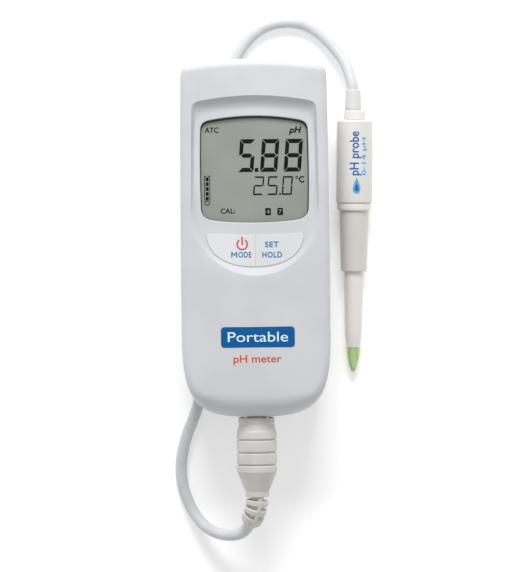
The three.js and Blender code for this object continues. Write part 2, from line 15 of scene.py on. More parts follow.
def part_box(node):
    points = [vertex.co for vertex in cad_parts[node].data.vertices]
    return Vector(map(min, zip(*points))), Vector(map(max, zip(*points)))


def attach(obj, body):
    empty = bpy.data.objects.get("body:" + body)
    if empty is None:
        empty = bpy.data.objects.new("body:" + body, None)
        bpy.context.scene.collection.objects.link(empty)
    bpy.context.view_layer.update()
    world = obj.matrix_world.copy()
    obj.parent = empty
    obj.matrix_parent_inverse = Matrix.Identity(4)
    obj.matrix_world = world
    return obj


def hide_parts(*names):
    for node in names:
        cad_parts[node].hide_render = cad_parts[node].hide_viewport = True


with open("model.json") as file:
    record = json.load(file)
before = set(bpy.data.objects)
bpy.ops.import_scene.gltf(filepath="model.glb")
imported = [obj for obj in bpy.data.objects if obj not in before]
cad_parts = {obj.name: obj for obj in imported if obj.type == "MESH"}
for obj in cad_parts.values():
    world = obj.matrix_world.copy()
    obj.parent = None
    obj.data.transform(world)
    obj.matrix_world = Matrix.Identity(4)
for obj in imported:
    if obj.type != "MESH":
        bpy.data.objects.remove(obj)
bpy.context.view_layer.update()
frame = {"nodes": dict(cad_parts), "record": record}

# ---- driving dimensions, millimetres ----
CASE_TOP_Y = 76.2
CASE_BOTTOM_Y = -77.0
RIM_Z = 41.4
CROWN = 0.6
PARTING_Z = 27.0
PARTING_GAP = 0.3
BACK_Z = 12.0
DISH_Z = 39.9
DISH_CENTRE_Y = 11.0
DISH_RADIUS = 27.2
DISH_FOOT_Y = -13.0
DISH_SLOPE = 0.02
LCD_Z = 36.8
LENS_Z = 38.3
PRINT_THICK = 0.04
KEY_TOP_Z = 40.1
KEY_EDGE = 0.18
KEY_SPLIT = 0.03
PLUG_Z = 27.0
CORD_RADIUS = 2.5
HANK_PITCH = 5.15
HANK_RADII = tuple(15.0 + HANK_PITCH * turn for turn in (2, 1, 0))
HANK_STRAIGHT = 28.0
HANK_LOW_Z = 3.25
HANK_HIGH_Z = HANK_LOW_Z + HANK_PITCH
HEAD_RADIUS = 7.9
HEAD_CHAMFER = 0.5
BOOT_ASIDE = -0.75
PROBE_TILT = 0.064
PROBE_YAW = 0.0135
PROBE_X = 44.5
PROBE_Y = 15.3
CASE_SCREWS = ((-24, 66), (24, 66), (-23.8, -58), (23.8, -58))
COVER_Y = -32.0
COVER_HALF = (20.0, 33.0)
COVER_SCREW_OFFSET = 30.2
CASE_SCREW_SIZE = {"low": 13.3, "head_radius": 2.6, "shank_radius": 1.4, "length": 22}
COVER_SCREW_SIZE = {"low": 12.15, "head_radius": 2.2, "shank_radius": 1.2, "length": 7.6}
FRONT_WALL = 1.2
BACK_WALL = 1.5
SOCKET_RADIUS = 7.3
FACE_RINGS = 12
SHARP_ANGLE = math.radians(35)
QUARTER_CIRCLE_HANDLE = 0.5523

case_low, case_high = (Vector(corner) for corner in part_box("front_shell"))
CASE_X = (case_low.x + case_high.x) / 2
CASE_Y = case_high.y - CASE_TOP_Y / 1000
TO_ROW = Matrix.Translation((CASE_X, CASE_Y, 0)) @ Matrix.Scale(0.001, 4)
PLUG_TO_ROW = TO_ROW @ Matrix.Translation((0, 0, PLUG_Z)) @ Matrix.Rotation(math.radians(-90), 4, "X")
PROBE_REST_Z = HEAD_RADIUS * math.cos(PROBE_TILT) - HEAD_CHAMFER * math.sin(PROBE_TILT)
PROBE_TO_ROW = (
    TO_ROW
    @ Matrix.Translation((PROBE_X, PROBE_Y, PROBE_REST_Z))
    @ Matrix.Rotation(-PROBE_YAW, 4, "Z")
    @ Matrix.Rotation(PROBE_TILT, 4, "X")
)
PROBE_AXIS_TO_ROW = PROBE_TO_ROW @ Matrix.Rotation(math.radians(-90), 4, "X")


# ---- shader building ----
class Wire:
    """A shader socket that adds, multiplies and compares like a number."""

    def __init__(self, maker, socket):
        self.maker = maker
        self.socket = socket

    def math(self, operation, *others):
        values = dict(enumerate([self, *others]))
        return self.maker.node("ShaderNodeMath", {"operation": operation}, values)

    def __add__(self, other):
        return self.math("ADD", other)

    def __mul__(self, other):
        return self.math("MULTIPLY", other)

    def __rsub__(self, other):
        return self.maker.node("ShaderNodeMath", {"operation": "SUBTRACT"}, {0: other, 1: self})

    def __gt__(self, other):
        return self.math("GREATER_THAN", other)

    def smooth(self, low, high):
        values = {"Value": self, "From Min": low, "From Max": high}
        return self.maker.node("ShaderNodeMapRange", {"interpolation_type": "SMOOTHSTEP"}, values)


class Finish:
    """Builds one material from nodes around a Principled shader."""

    def __init__(self, name, **fixed):
        self.material = bpy.data.materials.new(name)
        self.material.use_nodes = True
        self.tree = self.material.node_tree
        self.tree.nodes.clear()
        output = self.tree.nodes.new("ShaderNodeOutputMaterial")
        self.shader = self.tree.nodes.new("ShaderNodeBsdfPrincipled")
        self.tree.links.new(self.shader.outputs[0], output.inputs[0])
        for socket, value in fixed.items():
            self.shader.inputs[socket.replace("_", " ")].default_value = value

    def node(self, kind, settings=None, values=None, output=0):
        """Any node: its type, its settings, the values or links of its sockets, and which output to use."""
        made = self.tree.nodes.new(kind)
        for key, value in (settings or {}).items():
            setattr(made, key, value)
        for key, value in (values or {}).items():
            if isinstance(value, Wire):
                self.tree.links.new(value.socket, made.inputs[key])
            else:
                made.inputs[key].default_value = value
        return Wire(self, made.outputs[output])

    def place(self):
        return self.node("ShaderNodeTexCoord", output="Object")

    def grain(self, size_mm, detail=2.0, stretch=(1, 1, 1)):
        """Noise whose lumps are about this size."""
        scaled = self.node("ShaderNodeMapping", values={"Vector": self.place(), "Scale": stretch})
        values = {"Vector": scaled, "Scale": 1000 / size_mm, "Detail": detail}
        return self.node("ShaderNodeTexNoise", values=values)

    def mix(self, mask, first, second):
        settings = {"data_type": "RGBA"}
        return self.node("ShaderNodeMix", settings, {0: mask, 6: first, 7: second}, output=2)

    def feed(self, socket, wire):
        self.tree.links.new(wire.socket, self.shader.inputs[socket])

    def bump(self, height, depth_mm, strength=1.0):
        values = {"Height": height, "Distance": depth_mm / 1000, "Strength": strength}
        self.feed("Normal", self.node("ShaderNodeBump", values=values))


def rgb(red, green, blue):
    """A colour from its eight-bit display values."""
    display = (red, green, blue)
    return tuple(((v / 255 + 0.055) / 1.055) ** 2.4 if v > 10 else v / 3294.6 for v in display) + (1,)


def moulded(name, colour, roughness=0.45, grain_mm=0.35, depth_mm=0.012, drift=0.03, **fixed):
    """Moulded plastic: a fine spark-eroded grain, faint flow clouds and a little uneven gloss."""
    finish = Finish(name, **fixed)
    clouds = finish.grain(28, 3)
    fine = finish.grain(grain_mm, 3)
    light = tuple(min(c * (1 + drift), 1) for c in colour[:3]) + (1,)
    dark = tuple(c * (1 - drift) for c in colour[:3]) + (1,)
    finish.feed("Base Color", finish.mix(clouds.smooth(0.35, 0.65), dark, light))
    finish.feed("Roughness", fine * 0.12 + clouds * 0.08 + (roughness - 0.1))
    finish.bump(fine, depth_mm)
    return finish.material


def printed(name, colour, roughness=0.4, **fixed):
    """Pad-printed ink: dense colour with a slightly uneven film."""
    finish = Finish(name, **fixed)
    film = finish.grain(0.5, 3)
    thin = tuple(min(c * 1.12 + 0.01, 1) for c in colour[:3]) + (1,)
    finish.feed("Base Color", finish.mix(film.smooth(0.4, 0.75), colour, thin))
    finish.feed("Roughness", film * 0.2 + (roughness - 0.1))
    finish.bump(film, 0.006)
    return finish.material


def rubbery(name, colour, grain_mm=0.5, depth_mm=0.02, roughness=0.6):
    """Soft moulding: a matt skin with a fine orange-peel texture and slight handling marks."""
    finish = Finish(name, Specular_IOR_Level=0.4)
    skin = finish.grain(grain_mm, 2)
    marks = finish.grain(9, 4)
    dull = tuple(c * 0.93 for c in colour[:3]) + (1,)
    finish.feed("Base Color", finish.mix(marks.smooth(0.45, 0.7), colour, dull))
    finish.feed("Roughness", marks * 0.15 + skin * 0.08 + (roughness - 0.1))
    finish.bump(skin, depth_mm)
    return finish.material


def metal(name, colour, roughness=0.28, stretch=(1, 1, 1)):
    """Plated or plain metal with drawn lines and small stains."""
    finish = Finish(name, Metallic=1.0)
    lines = finish.grain(0.25, 2, stretch)
    stains = finish.grain(2.5, 3)
    dull = tuple(c * 0.8 for c in colour[:3]) + (1,)
    finish.feed("Base Color", finish.mix(stains.smooth(0.45, 0.8), colour, dull))
    finish.feed("Roughness", lines * 0.15 + stains * 0.1 + (roughness - 0.1))
    finish.bump(lines, 0.004)
    return finish.material


def clear(name, colour, alpha, roughness=0.06, **fixed):
    """Clear moulding or glass: thin, glossy, with faint smears."""
    finish = Finish(name, Alpha=alpha, Base_Color=colour, **fixed)
    smears = finish.grain(6, 3, (1, 0.4, 1))
    finish.feed("Roughness", smears.smooth(0.4, 0.8) * 0.05 + roughness)
    finish.material.surface_render_method = "BLENDED"
    return finish.material


def display_panel():
    """Reflective liquid crystal glass: a grey-green field with faint clouds and fine speckle."""
    finish = Finish("lcd_panel", Coat_Weight=0.25, Coat_Roughness=0.08)
    grain = finish.grain(0.22, 1)
    clouds = finish.grain(22, 2)
    field = finish.mix(clouds.smooth(0.35, 0.65), rgb(158, 163, 155), rgb(164, 169, 161))
    speckled = finish.mix(grain.smooth(0.5, 0.9) * 0.25, field, rgb(140, 147, 137))
    finish.feed("Base Color", speckled)
    finish.feed("Roughness", grain * 0.1 + 0.35)
    finish.bump(grain, 0.003)
    return finish.material


def strap_cloth():
    """Woven hook-and-loop strap: crossing threads with a soft nap."""
    finish = Finish("tie_cloth", Sheen_Weight=0.3, Sheen_Roughness=0.5)
    settings = {"wave_type": "BANDS", "bands_direction": "Y"}
    warp = finish.node("ShaderNodeTexWave", settings, {"Vector": finish.place(), "Scale": 320}, output=1)
    nap = finish.grain(0.35, 4)
    finish.feed("Base Color", finish.mix(warp * nap, rgb(176, 177, 175), rgb(222, 222, 219)))
    finish.feed("Roughness", nap * 0.2 + 0.7)
    finish.bump(warp * 0.6 + nap * 0.4, 0.12)
    return finish.material


def circuit_board():
    """Green solder mask with rows of fine tracks and plated pads."""
    finish = Finish("circuit_board")
    settings = {"wave_type": "BANDS", "bands_direction": "X"}
    tracks = finish.node("ShaderNodeTexWave", settings, {"Vector": finish.place(), "Scale": 180}, output=1)
    cells = {"Vector": finish.place(), "Scale": 130}
    blocks = finish.node("ShaderNodeTexVoronoi", {"distance": "MANHATTAN"}, cells)
    mask = tracks.smooth(0.55, 0.75) * (blocks > 0.35)
    pads = 1 - blocks.smooth(0.06, 0.1)
    green = finish.mix(mask, rgb(26, 84, 48), rgb(52, 122, 74))
    finish.feed("Base Color", finish.mix(pads, green, rgb(205, 196, 160)))
    finish.feed("Roughness", mask * 0.1 + 0.35)
    finish.bump(mask + pads, 0.03)
    return finish.material


def battery_sleeve():
    """Printed shrink sleeve crossed by paler bands."""
    finish = Finish("battery_sleeve", Coat_Weight=0.4, Coat_Roughness=0.15)
    fine = finish.grain(0.6, 2)
    rings = finish.grain(7, 1, (0.05, 1, 0.05))
    finish.feed("Base Color", finish.mix(rings.smooth(0.5, 0.54), rgb(66, 104, 140), rgb(186, 196, 204)))
    finish.feed("Roughness", fine * 0.1 + 0.25)
    finish.bump(fine, 0.01)
    return finish.material


def tip_glass():
    """Yellow-green bulb glass with stretched streaks that are paler and clearer."""
    finish = Finish("tip_glass", Coat_Weight=0.8, Coat_Roughness=0.04)
    streaks = finish.grain(1.6, 3, (1.6, 0.25, 1))
    green = finish.mix(streaks.smooth(0.38, 0.66), rgb(160, 204, 112), rgb(212, 236, 168))
    finish.feed("Base Color", green)
    finish.feed("Alpha", 0.93 - streaks * 0.12)
    finish.feed("Roughness", streaks * 0.1 + 0.05)
    finish.bump(streaks, 0.03)
    return finish.material


def floor_finish():
    """Plain pale paper sweep."""
    white = (1, 1, 1, 1)
    finish = Finish("floor_paper", Specular_IOR_Level=0.1, Emission_Color=white, Emission_Strength=0.25)
    fibres = finish.grain(1.2, 4)
    finish.feed("Base Color", finish.mix(fibres, (0.94, 0.94, 0.94, 1), (0.96, 0.96, 0.96, 1)))
    finish.feed("Roughness", fibres * 0.1 + 0.85)
    finish.bump(fibres, 0.01)
    return finish.material


LOOKS = {
    "case_plastic": moulded("case_plastic", rgb(205, 206, 209), 0.5, Specular_IOR_Level=0.3),
    "key_plastic": moulded("key_plastic", rgb(219, 221, 223), 0.4, grain_mm=0.25, depth_mm=0.006),
    "badge_blue": printed("badge_blue", rgb(0, 88, 150), Specular_IOR_Level=0.15),
    "window_plastic": clear("window_plastic", (0.04, 0.05, 0.04, 1), 0.05, Specular_IOR_Level=0.15),
    "lcd_panel": display_panel(),
    "inner_plastic": moulded("inner_plastic", rgb(196, 198, 200), 0.5),
    "seal_rubber": rubbery("seal_rubber", rgb(52, 54, 57)),
    "silicone": rubbery("silicone", rgb(182, 185, 186), 0.8),
    "board": circuit_board(),
    "chip_black": moulded("chip_black", rgb(34, 35, 38), 0.5, 0.3, 0.02, 0.1),
    "steel": metal("steel", rgb(190, 192, 196), 0.3, (1, 0.1, 1)),
    "nickel": metal("nickel", rgb(204, 200, 190), 0.22, (0.2, 1, 0.2)),
    "battery_sleeve": battery_sleeve(),
    "plug_rubber": rubbery("plug_rubber", rgb(208, 206, 202), 0.45, 0.02, 0.55),
    "cord_jacket": rubbery("cord_jacket", rgb(209, 212, 213), 0.8, 0.02, 0.48),
    "tie_plastic": strap_cloth(),
    "probe_plastic": moulded("probe_plastic", rgb(228, 226, 221), 0.38, 0.3, 0.006),
    "probe_tube": moulded("probe_tube", rgb(233, 229, 225), 0.32, 2.5, 0.02, 0.02),
    "probe_glass": tip_glass(),
    "clear_tube": clear("clear_tube", (0.85, 0.9, 0.86, 1), 0.35),
}
BOOT_RUBBER = rubbery("boot_rubber", rgb(222, 222, 220), 0.8, 0.02, 0.5)
SLEEVE_PLASTIC = moulded("sleeve_plastic", rgb(214, 211, 203), 0.34, 2.5, 0.02, 0.02)
INK_BLUE = printed("ink_blue", rgb(0, 110, 160), Specular_IOR_Level=0.2)
INK_SKY = printed("ink_sky", rgb(92, 172, 214))
INK_DEEP_BLUE = printed("ink_deep_blue", rgb(24, 104, 172))
INK_RED = printed("ink_red", rgb(208, 70, 84))
INK_ORANGE = printed("ink_orange", rgb(198, 76, 38))
INK_WHITE = printed("ink_white", rgb(226, 240, 250))
LCD_INK = printed("lcd_ink", rgb(7, 8, 7), 0.6, Specular_IOR_Level=0.1)
# Dark border round the display window: thin print at the sides and bottom, and a painted shadow of the
# opening's edge along the top.
LCD_BORDER_AND_SHADOW = printed("lcd_border_and_painted_shadow", rgb(62, 66, 63), 0.6)


# ---- mesh building ----
def placed(name, bm, matrix):
    """An object made of a bmesh moved by a matrix."""
    bmesh.ops.transform(bm, matrix=matrix, verts=bm.verts)
    mesh = bpy.data.meshes.new(name)
    bm.to_mesh(mesh)
    bm.free()
    piece = bpy.data.objects.new(name, mesh)
    bpy.context.collection.objects.link(piece)
    return piece


def soften(mesh):
    """Smooth shading that keeps the sharp edges."""
    mesh.shade_smooth()
    mesh.set_sharp_from_angle(angle=SHARP_ANGLE)


def finish_piece(name, bm, body, slot, stands_for=(), matrix=TO_ROW, look=None):
    """Turns a bmesh into a placed piece of the object, with its slot's look unless another is given."""
    bmesh.ops.remove_doubles(bm, verts=bm.verts, dist=1e-4)
    bmesh.ops.recalc_face_normals(bm, faces=bm.faces)
    piece = placed(name, bm, matrix)
    soften(piece.data)
    piece.data.materials.append(look or LOOKS[slot])
    return enrol(piece, body, stands_for)


def enrol(piece, body, stands_for=()):
    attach(piece, body)
    if stands_for:
        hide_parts(*stands_for)
    return piece


def loop(bm, points):
    """A closed ring of edges through points."""
    verts = [bm.verts.new(point) for point in points]
    return [bm.edges.new((a, b)) for a, b in zip(verts, verts[1:] + verts[:1])]


def skin(bm, rings):
    """Extrudes the first of a run of rings onto each of the next in turn, and gives their edges."""
    loops = [loop(bm, rings[0])]
    verts = [edge.verts[0] for edge in loops[0]]
    for ring in rings[1:]:
        made = bmesh.ops.extrude_edge_only(bm, edges=loops[-1])["geom"]
        order = {vert: i for i, vert in enumerate(verts)}
        fresh = [None] * len(verts)
        for vert in (item for item in made if isinstance(item, bmesh.types.BMVert)):
            near = (edge.other_vert(vert) for edge in vert.link_edges)
            fresh[next(order[other] for other in near if other in order)] = vert
        for vert, point in zip(fresh, ring):
            vert.co = point
        loops.append([bm.edges.get(pair) for pair in zip(fresh, fresh[1:] + fresh[:1])])
        verts = fresh
    return loops


def fill(bm, *loops):
    """A flat face between one outer loop and any loops inside it."""
    edges = [edge for one in loops for edge in one]
    bmesh.ops.triangle_fill(bm, use_beauty=True, use_dissolve=False, edges=edges)


def solid(rings):
    """A closed body through flat-ended rings."""
    bm = bmesh.new()
    loops = skin(bm, rings)
    fill(bm, loops[0])
    fill(bm, loops[-1])
    return bm


def spun(profile, steps=64):
    """A body of revolution about Z from (radius, height) pairs that start and end on the axis or close."""
    bm = bmesh.new()
    verts = [bm.verts.new((radius, 0, height)) for radius, height in profile]
    edges = [bm.edges.new(pair) for pair in zip(verts, verts[1:])]
    if profile[0][0] > 0:
        edges.append(bm.edges.new((verts[-1], verts[0])))
    bmesh.ops.spin(
        bm, geom=verts + edges, cent=(0, 0, 0), axis=(0, 0, 1), angle=math.tau, steps=steps, use_merge=True
    )
    return bm


def round_corners(profile, radius, steps=4):
    """Rounds the inner corners of a profile of pairs by a small radius."""
    points = [Vector(pair) for pair in profile]
    rounded = [points[0]]
    for before, corner, after in zip(points, points[1:], points[2:]):
        into, out = before - corner, after - corner
        reach = min(radius, into.length * 0.45, out.length * 0.45)
        start, end = corner + into.normalized() * reach, corner + out.normalized() * reach
        for step in range(steps + 1):
            t = step / steps
            rounded.append(start * (1 - t) ** 2 + corner * 2 * t * (1 - t) + end * t**2)
    return [tuple(point) for point in rounded + [points[-1]]]


def half_curve(pieces):
    """Points along the right half of an outline, from its bottom to its top, then its mirror image."""
    right = [Vector(pieces[0][0])]
    for *controls, count in pieces:
        controls = [Vector((*control, 0)) for control in controls]
        right += [Vector(point[:2]) for point in interpolate_bezier(*controls, count + 1)[1:]]
    left = [Vector((-point.x, point.y)) for point in right[-2:0:-1]]
    return right + left


def normals_of(points):
    """Outward directions of a closed outline that runs anticlockwise."""
    count = len(points)
    runs = [points[(i + 1) % count] - points[i - 1] for i in range(count)]
    return [Vector((run.y, -run.x)).normalized() for run in runs]


def grown(points, amount):
    return [point + normal * amount for point, normal in zip(points, normals_of(points))]


def at(points, z):
    return [Vector((point.x, point.y, z)) for point in points]


def rounded_box(half_x, half_y, radius, centre=(0, 0), steps=6):
    """A rectangle with round corners, anticlockwise."""
    points = []
    for sign_x, sign_y, turn in ((1, -1, -90), (1, 1, 0), (-1, 1, 90), (-1, -1, 180)):
        for step in range(steps + 1):
            angle = math.radians(turn + 90 * step / steps)
            x = centre[0] + sign_x * (half_x - radius) + radius * math.cos(angle)
            y = centre[1] + sign_y * (half_y - radius) + radius * math.sin(angle)
            points.append(Vector((x, y)))
    return points


def circle(radius, centre=(0, 0), steps=32):
    turns = [math.tau * step / steps for step in range(steps)]
    return [Vector((centre[0] + radius * math.cos(a), centre[1] + radius * math.sin(a))) for a in turns]


def slab(outline, low, high, edge=0.3, steps=3):
    """A plate whose upper edge is rounded."""
    rings = [at(outline, low)]
    for step in range(steps + 1):
        angle = math.radians(90 * step / steps)
        rings.append(at(grown(outline, -edge * (1 - math.cos(angle))), high - edge * (1 - math.sin(angle))))
    rings.append(at(grown(outline, -edge - 0.15), high))
    return solid(rings)


# ---- case ----
def case_outline():
    low, top = CASE_BOTTOM_Y, CASE_TOP_Y
    return half_curve([
        ((0, low), (4, low), (7, low + 0.15), (10, low + 0.45), 8),
        ((10, low + 0.45), (27.5, low + 1.8), (31.7, -66), (31.75, -42), 36),
        ((31.75, -42), (31.95, -10), (31.7, 30), (31.25, top - 7.75), 26),
        ((31.25, top - 7.75), (31.15, top - 3.75), (29.8, top - 2.35), (26, top - 1.85), 12),
        ((26, top - 1.85), (18, top - 0.65), (9, top), (0, top), 14),
    ])


def dish_brim():
    foot, side = (0, DISH_CENTRE_Y - DISH_RADIUS), (DISH_RADIUS, DISH_CENTRE_Y)
    reach = DISH_RADIUS * QUARTER_CIRCLE_HANDLE
    return half_curve([
        (foot, (reach, foot[1]), (side[0], side[1] - reach), side, 44),
        (side, (DISH_RADIUS, 25), (27.0, 40), (26.6, 53.4), 26),
        ((26.6, 53.4), (26.5, 55.8), (25.8, 57.1), (23.4, 57.8), 12),
        ((23.4, 57.8), (15, 59.4), (7, 60.1), (0, 60.1), 14),
    ])


def dish_floor():
    return half_curve([
        ((0, -13.0), (13.3, -13.0), (20.9, -7.6), (22.8, 3.2), 34),
        ((22.8, 3.2), (24.0, 9.8), (25.7, 19), (25.7, 30), 10),
        ((25.7, 30), (25.7, 37), (25.6, 43), (25.3, 46.9), 26),
        ((25.3, 46.9), (25.1, 50.1), (23.7, 51.2), (20.4, 51.9), 12),
        ((20.4, 51.9), (13, 53.4), (6, 54.3), (0, 54.3), 14),
    ])


def window_outline():
    return half_curve([
        ((0, 6.3), (8, 6.3), (14, 6.7), (18.6, 7.5), 12),
        ((18.6, 7.5), (21.6, 8.1), (22.8, 9.8), (22.95, 12.5), 8),
        ((22.95, 12.5), (23.3, 22), (23.3, 36), (22.9, 46), 14),
        ((22.9, 46), (22.7, 48.6), (21.5, 49.6), (19, 50.1), 8),
        ((19, 50.1), (13, 51.3), (6, 51.9), (0, 51.9), 12),
    ])


def key_crescent():
    return half_curve([
        ((0, -12.5), (12.6, -12.5), (18.8, -7.6), (20.4, -1.3), 30),
        ((20.4, -1.3), (21.1, 0.95), (20.6, 1.7), (18.8, 1.65), 8),
        ((18.8, 1.65), (13, 1.35), (6, 1.2), (0, 1.2), 14),
    ])


def crown_z(x, y):
    """Height of the gently domed front."""
    across = max(1 - (x / 28.8) ** 2, 0)
    along = max(1 - ((y - 3.4) / 69.8) ** 4, 0)
    return RIM_Z + CROWN * across * along


def floor_z(point):
    """Height of the recess floor, which falls gently toward the top."""
    return DISH_Z - DISH_SLOPE * (point.y - DISH_FOOT_Y)


def edge_radius(normal, side, top, bottom):
    """The case's edges are rounder at its lower end."""
    end = top if normal.y > 0 else bottom
    return side + (end - side) * normal.y**2


def rounded_edge_rings(outline, face_z, way, radii, steps=10):
    """Rings from the wall over the rounded edge to the face; way is 1 for the front and -1 for the back."""
    normals = normals_of(outline)
    reach = [edge_radius(normal, *radii) for normal in normals]
    rings = []
    for step in range(steps + 1):
        angle = math.radians(90 * step / steps)
        ring = []
        for point, normal, radius in zip(outline, normals, reach):
            flat = point - normal * radius * (1 - math.cos(angle))
            ring.append(Vector((flat.x, flat.y, face_z - way * radius * (1 - math.sin(angle)))))
        rings.append(ring)
    return rings


def cove_rings(brim, floor, steps=12):
    """Rings down the wall of the recess: a plain slope at the bottom, a deep cove under the brow."""
    rings = [[Vector((p.x, p.y, crown_z(p.x, p.y))) for p in grown(brim, 0.35)]]
    rises = [max(normal.y, 0) for normal in normals_of(brim)]
    for step in range(steps + 1):
        t = step / steps
        ring = []
        for outer, inner, rise in zip(brim, floor, rises):
            flat = outer.lerp(inner, t)
            steepness = 1.15 + 1.3 * rise
            drop = 1 - (1 - t) ** steepness
            top = crown_z(outer.x, outer.y) - 0.06 - 0.5 * rise
            ring.append(Vector((flat.x, flat.y, top + (floor_z(flat) - top) * drop)))
        rings.append(ring)
    return rings + [on_floor(grown(floor, -0.1))]


def on_floor(points, drop=0.0):
    return [Vector((point.x, point.y, floor_z(point) - drop)) for point in points]


def rolled_edge(outline, radius, depth, steps=4):
    """Rings from the recess floor over a small rounded edge and down into an opening."""
    rings = [on_floor(grown(outline, radius + 0.05))]
    for step in range(steps + 1):
        angle = math.radians(90 * step / steps)
        rings.append(on_floor(grown(outline, radius * (1 - math.sin(angle))), radius * (1 - math.cos(angle))))
    return rings + [on_floor(outline, depth)]


def apply_modifiers(piece):
    """Puts the result of a piece's modifiers into its mesh."""
    shaped = piece.evaluated_get(bpy.context.evaluated_depsgraph_get())
    mesh = bpy.data.meshes.new_from_object(shaped)
    piece.modifiers.clear()
    piece.data = mesh
    soften(mesh)


def thicken(piece, wall):
    walls = piece.modifiers.new("wall", "SOLIDIFY")
    walls.thickness = wall / 1000
    walls.offset = -1
    apply_modifiers(piece)


def cut_away(piece, bm, matrix, solver="EXACT"):
    """Cuts a bmesh's shape, moved by a matrix, out of a piece."""
    cutter = placed("cutter", bm, matrix)
    cut = piece.modifiers.new("cut", "BOOLEAN")
    cut.object = cutter
    cut.operation = "DIFFERENCE"
    cut.solver = solver
    apply_modifiers(piece)
    bpy.data.objects.remove(cutter)


def socket_cut(piece):
    """Cuts the round opening for the lead's socket through a shell."""
    bm = bmesh.new()
    ends = {"radius1": SOCKET_RADIUS, "radius2": SOCKET_RADIUS}
    bmesh.ops.create_cone(bm, cap_ends=True, segments=48, depth=12, **ends)
    place = Matrix.Translation((0, CASE_BOTTOM_Y + 2, PLUG_Z)) @ Matrix.Rotation(math.pi / 2, 4, "X")
    cut_away(piece, bm, TO_ROW @ place, "MANIFOLD")


def front_case():
    outline = case_outline()
    bm = bmesh.new()
    seam = PARTING_Z + PARTING_GAP / 2
    wall = [at(grown(outline, -0.2), seam), at(outline, seam + 0.25)]
    edge = rounded_edge_rings(outline, RIM_Z, 1, (3.0, 3.6, 10.0))
    cove = cove_rings(dish_brim(), dish_floor())
    face = []
    for step in range(1, FACE_RINGS + 1):
        flat = [outer.lerp(inner, step / (FACE_RINGS + 1)) for outer, inner in zip(edge[-1], cove[0])]
        face.append([Vector((point.x, point.y, crown_z(point.x, point.y))) for point in flat])
    shell = skin(bm, wall + edge + face + cove)
    window = skin(bm, rolled_edge(window_outline(), 0.4, 1.0))
    keys = skin(bm, rolled_edge(grown(key_crescent(), 0.03), 0.08, 1.0))
    fill(bm, shell[-1], window[0], keys[0])
    piece = finish_piece("front_case", bm, "meter", "case_plastic", ["front_shell"])
    thicken(piece, FRONT_WALL)
    socket_cut(piece)
    return piece


def back_case():
    outline = case_outline()
    bm = bmesh.new()
    seam = PARTING_Z - PARTING_GAP / 2
    wall = [at(grown(outline, -0.2), seam), at(outline, seam - 0.25)]
    edge = rounded_edge_rings(outline, BACK_Z, -1, (3.0, 4.0, 6.0))
    outer = skin(bm, wall + edge)
    recess = rounded_box(COVER_HALF[0] + 0.3, COVER_HALF[1] + 0.3, 3.3, (0, COVER_Y))
    seat = skin(bm, [at(grown(recess, 0.3), BACK_Z), at(recess, BACK_Z + 0.3), at(recess, BACK_Z + 2.1)])
    fill(bm, seat[-1])
    holes = []
    for centre in CASE_SCREWS:
        bore = circle(2.9, centre)
        hole = skin(bm, [at(grown(bore, 0.25), BACK_Z), at(bore, BACK_Z + 0.25), at(bore, BACK_Z + 3.6)])
        fill(bm, hole[-1])
        holes.append(hole[0])
    fill(bm, outer[-1], seat[0], *holes)
    piece = finish_piece("back_case", bm, "meter", "case_plastic", ["rear_shell"])
    thicken(piece, BACK_WALL)
    socket_cut(piece)
    return piece


def screw(name, x, y, low, head_radius, shank_radius, length):
    """A pan-head screw, head down, with a cross recess."""
    profile = [(0, 0), (head_radius * 0.8, 0), (head_radius, 0.5), (head_radius, 1.6)]
    profile += [(shank_radius, 1.7), (shank_radius, length - 1.2), (0.2, length), (0, length)]
    bm = spun(round_corners(profile, 0.3, 3), 32)
    place = TO_ROW @ Matrix.Translation((x, y, low))
    piece = finish_piece(name + "_shown", bm, "meter", "steel", [name], place)
    for turn in (0, 90):
        bm = bmesh.new()
        bmesh.ops.create_cube(bm, size=1)
        bmesh.ops.scale(bm, vec=(head_radius * 1.1, head_radius * 0.26, 1.6), verts=bm.verts)
        cut_away(piece, bm, place @ Matrix.Rotation(math.radians(turn + 20), 4, "Z"))
    return piece


def battery_door():
    """The screwed cover on the back, with moulded grip ribs."""
    bm = bmesh.new()
    half_x, half_y = COVER_HALF
    outline = rounded_box(half_x, half_y, 3, (0, COVER_Y))
    low, high = BACK_Z + 0.05, BACK_Z + 1.8
    outer = skin(bm, [at(outline, high), at(outline, low + 0.35), at(grown(outline, -0.35), low)])
    holes = []
    for end in (-1, 1):
        bore = circle(2.5, (0, COVER_Y + end * COVER_SCREW_OFFSET))
        seat = skin(bm, [at(grown(bore, 0.2), low), at(bore, low + 0.2), at(bore, low + 1.0)])
        fill(bm, seat[-1])
        holes.append(seat[0])
    for row in range(5):
        groove = rounded_box(9 - row * 1.2, 0.55, 0.5, (0, COVER_Y + 21.5 - row * 2.4), 3)
        rings = [at(grown(groove, 0.2), low), at(groove, low + 0.25), at(grown(groove, -0.2), low + 0.5)]
        cut = skin(bm, rings)
        fill(bm, cut[-1])
        holes.append(cut[0])
    fill(bm, outer[-1], *holes)
    fill(bm, outer[0])
    finish_piece("battery_door", bm, "meter", "case_plastic", ["battery_cover"])


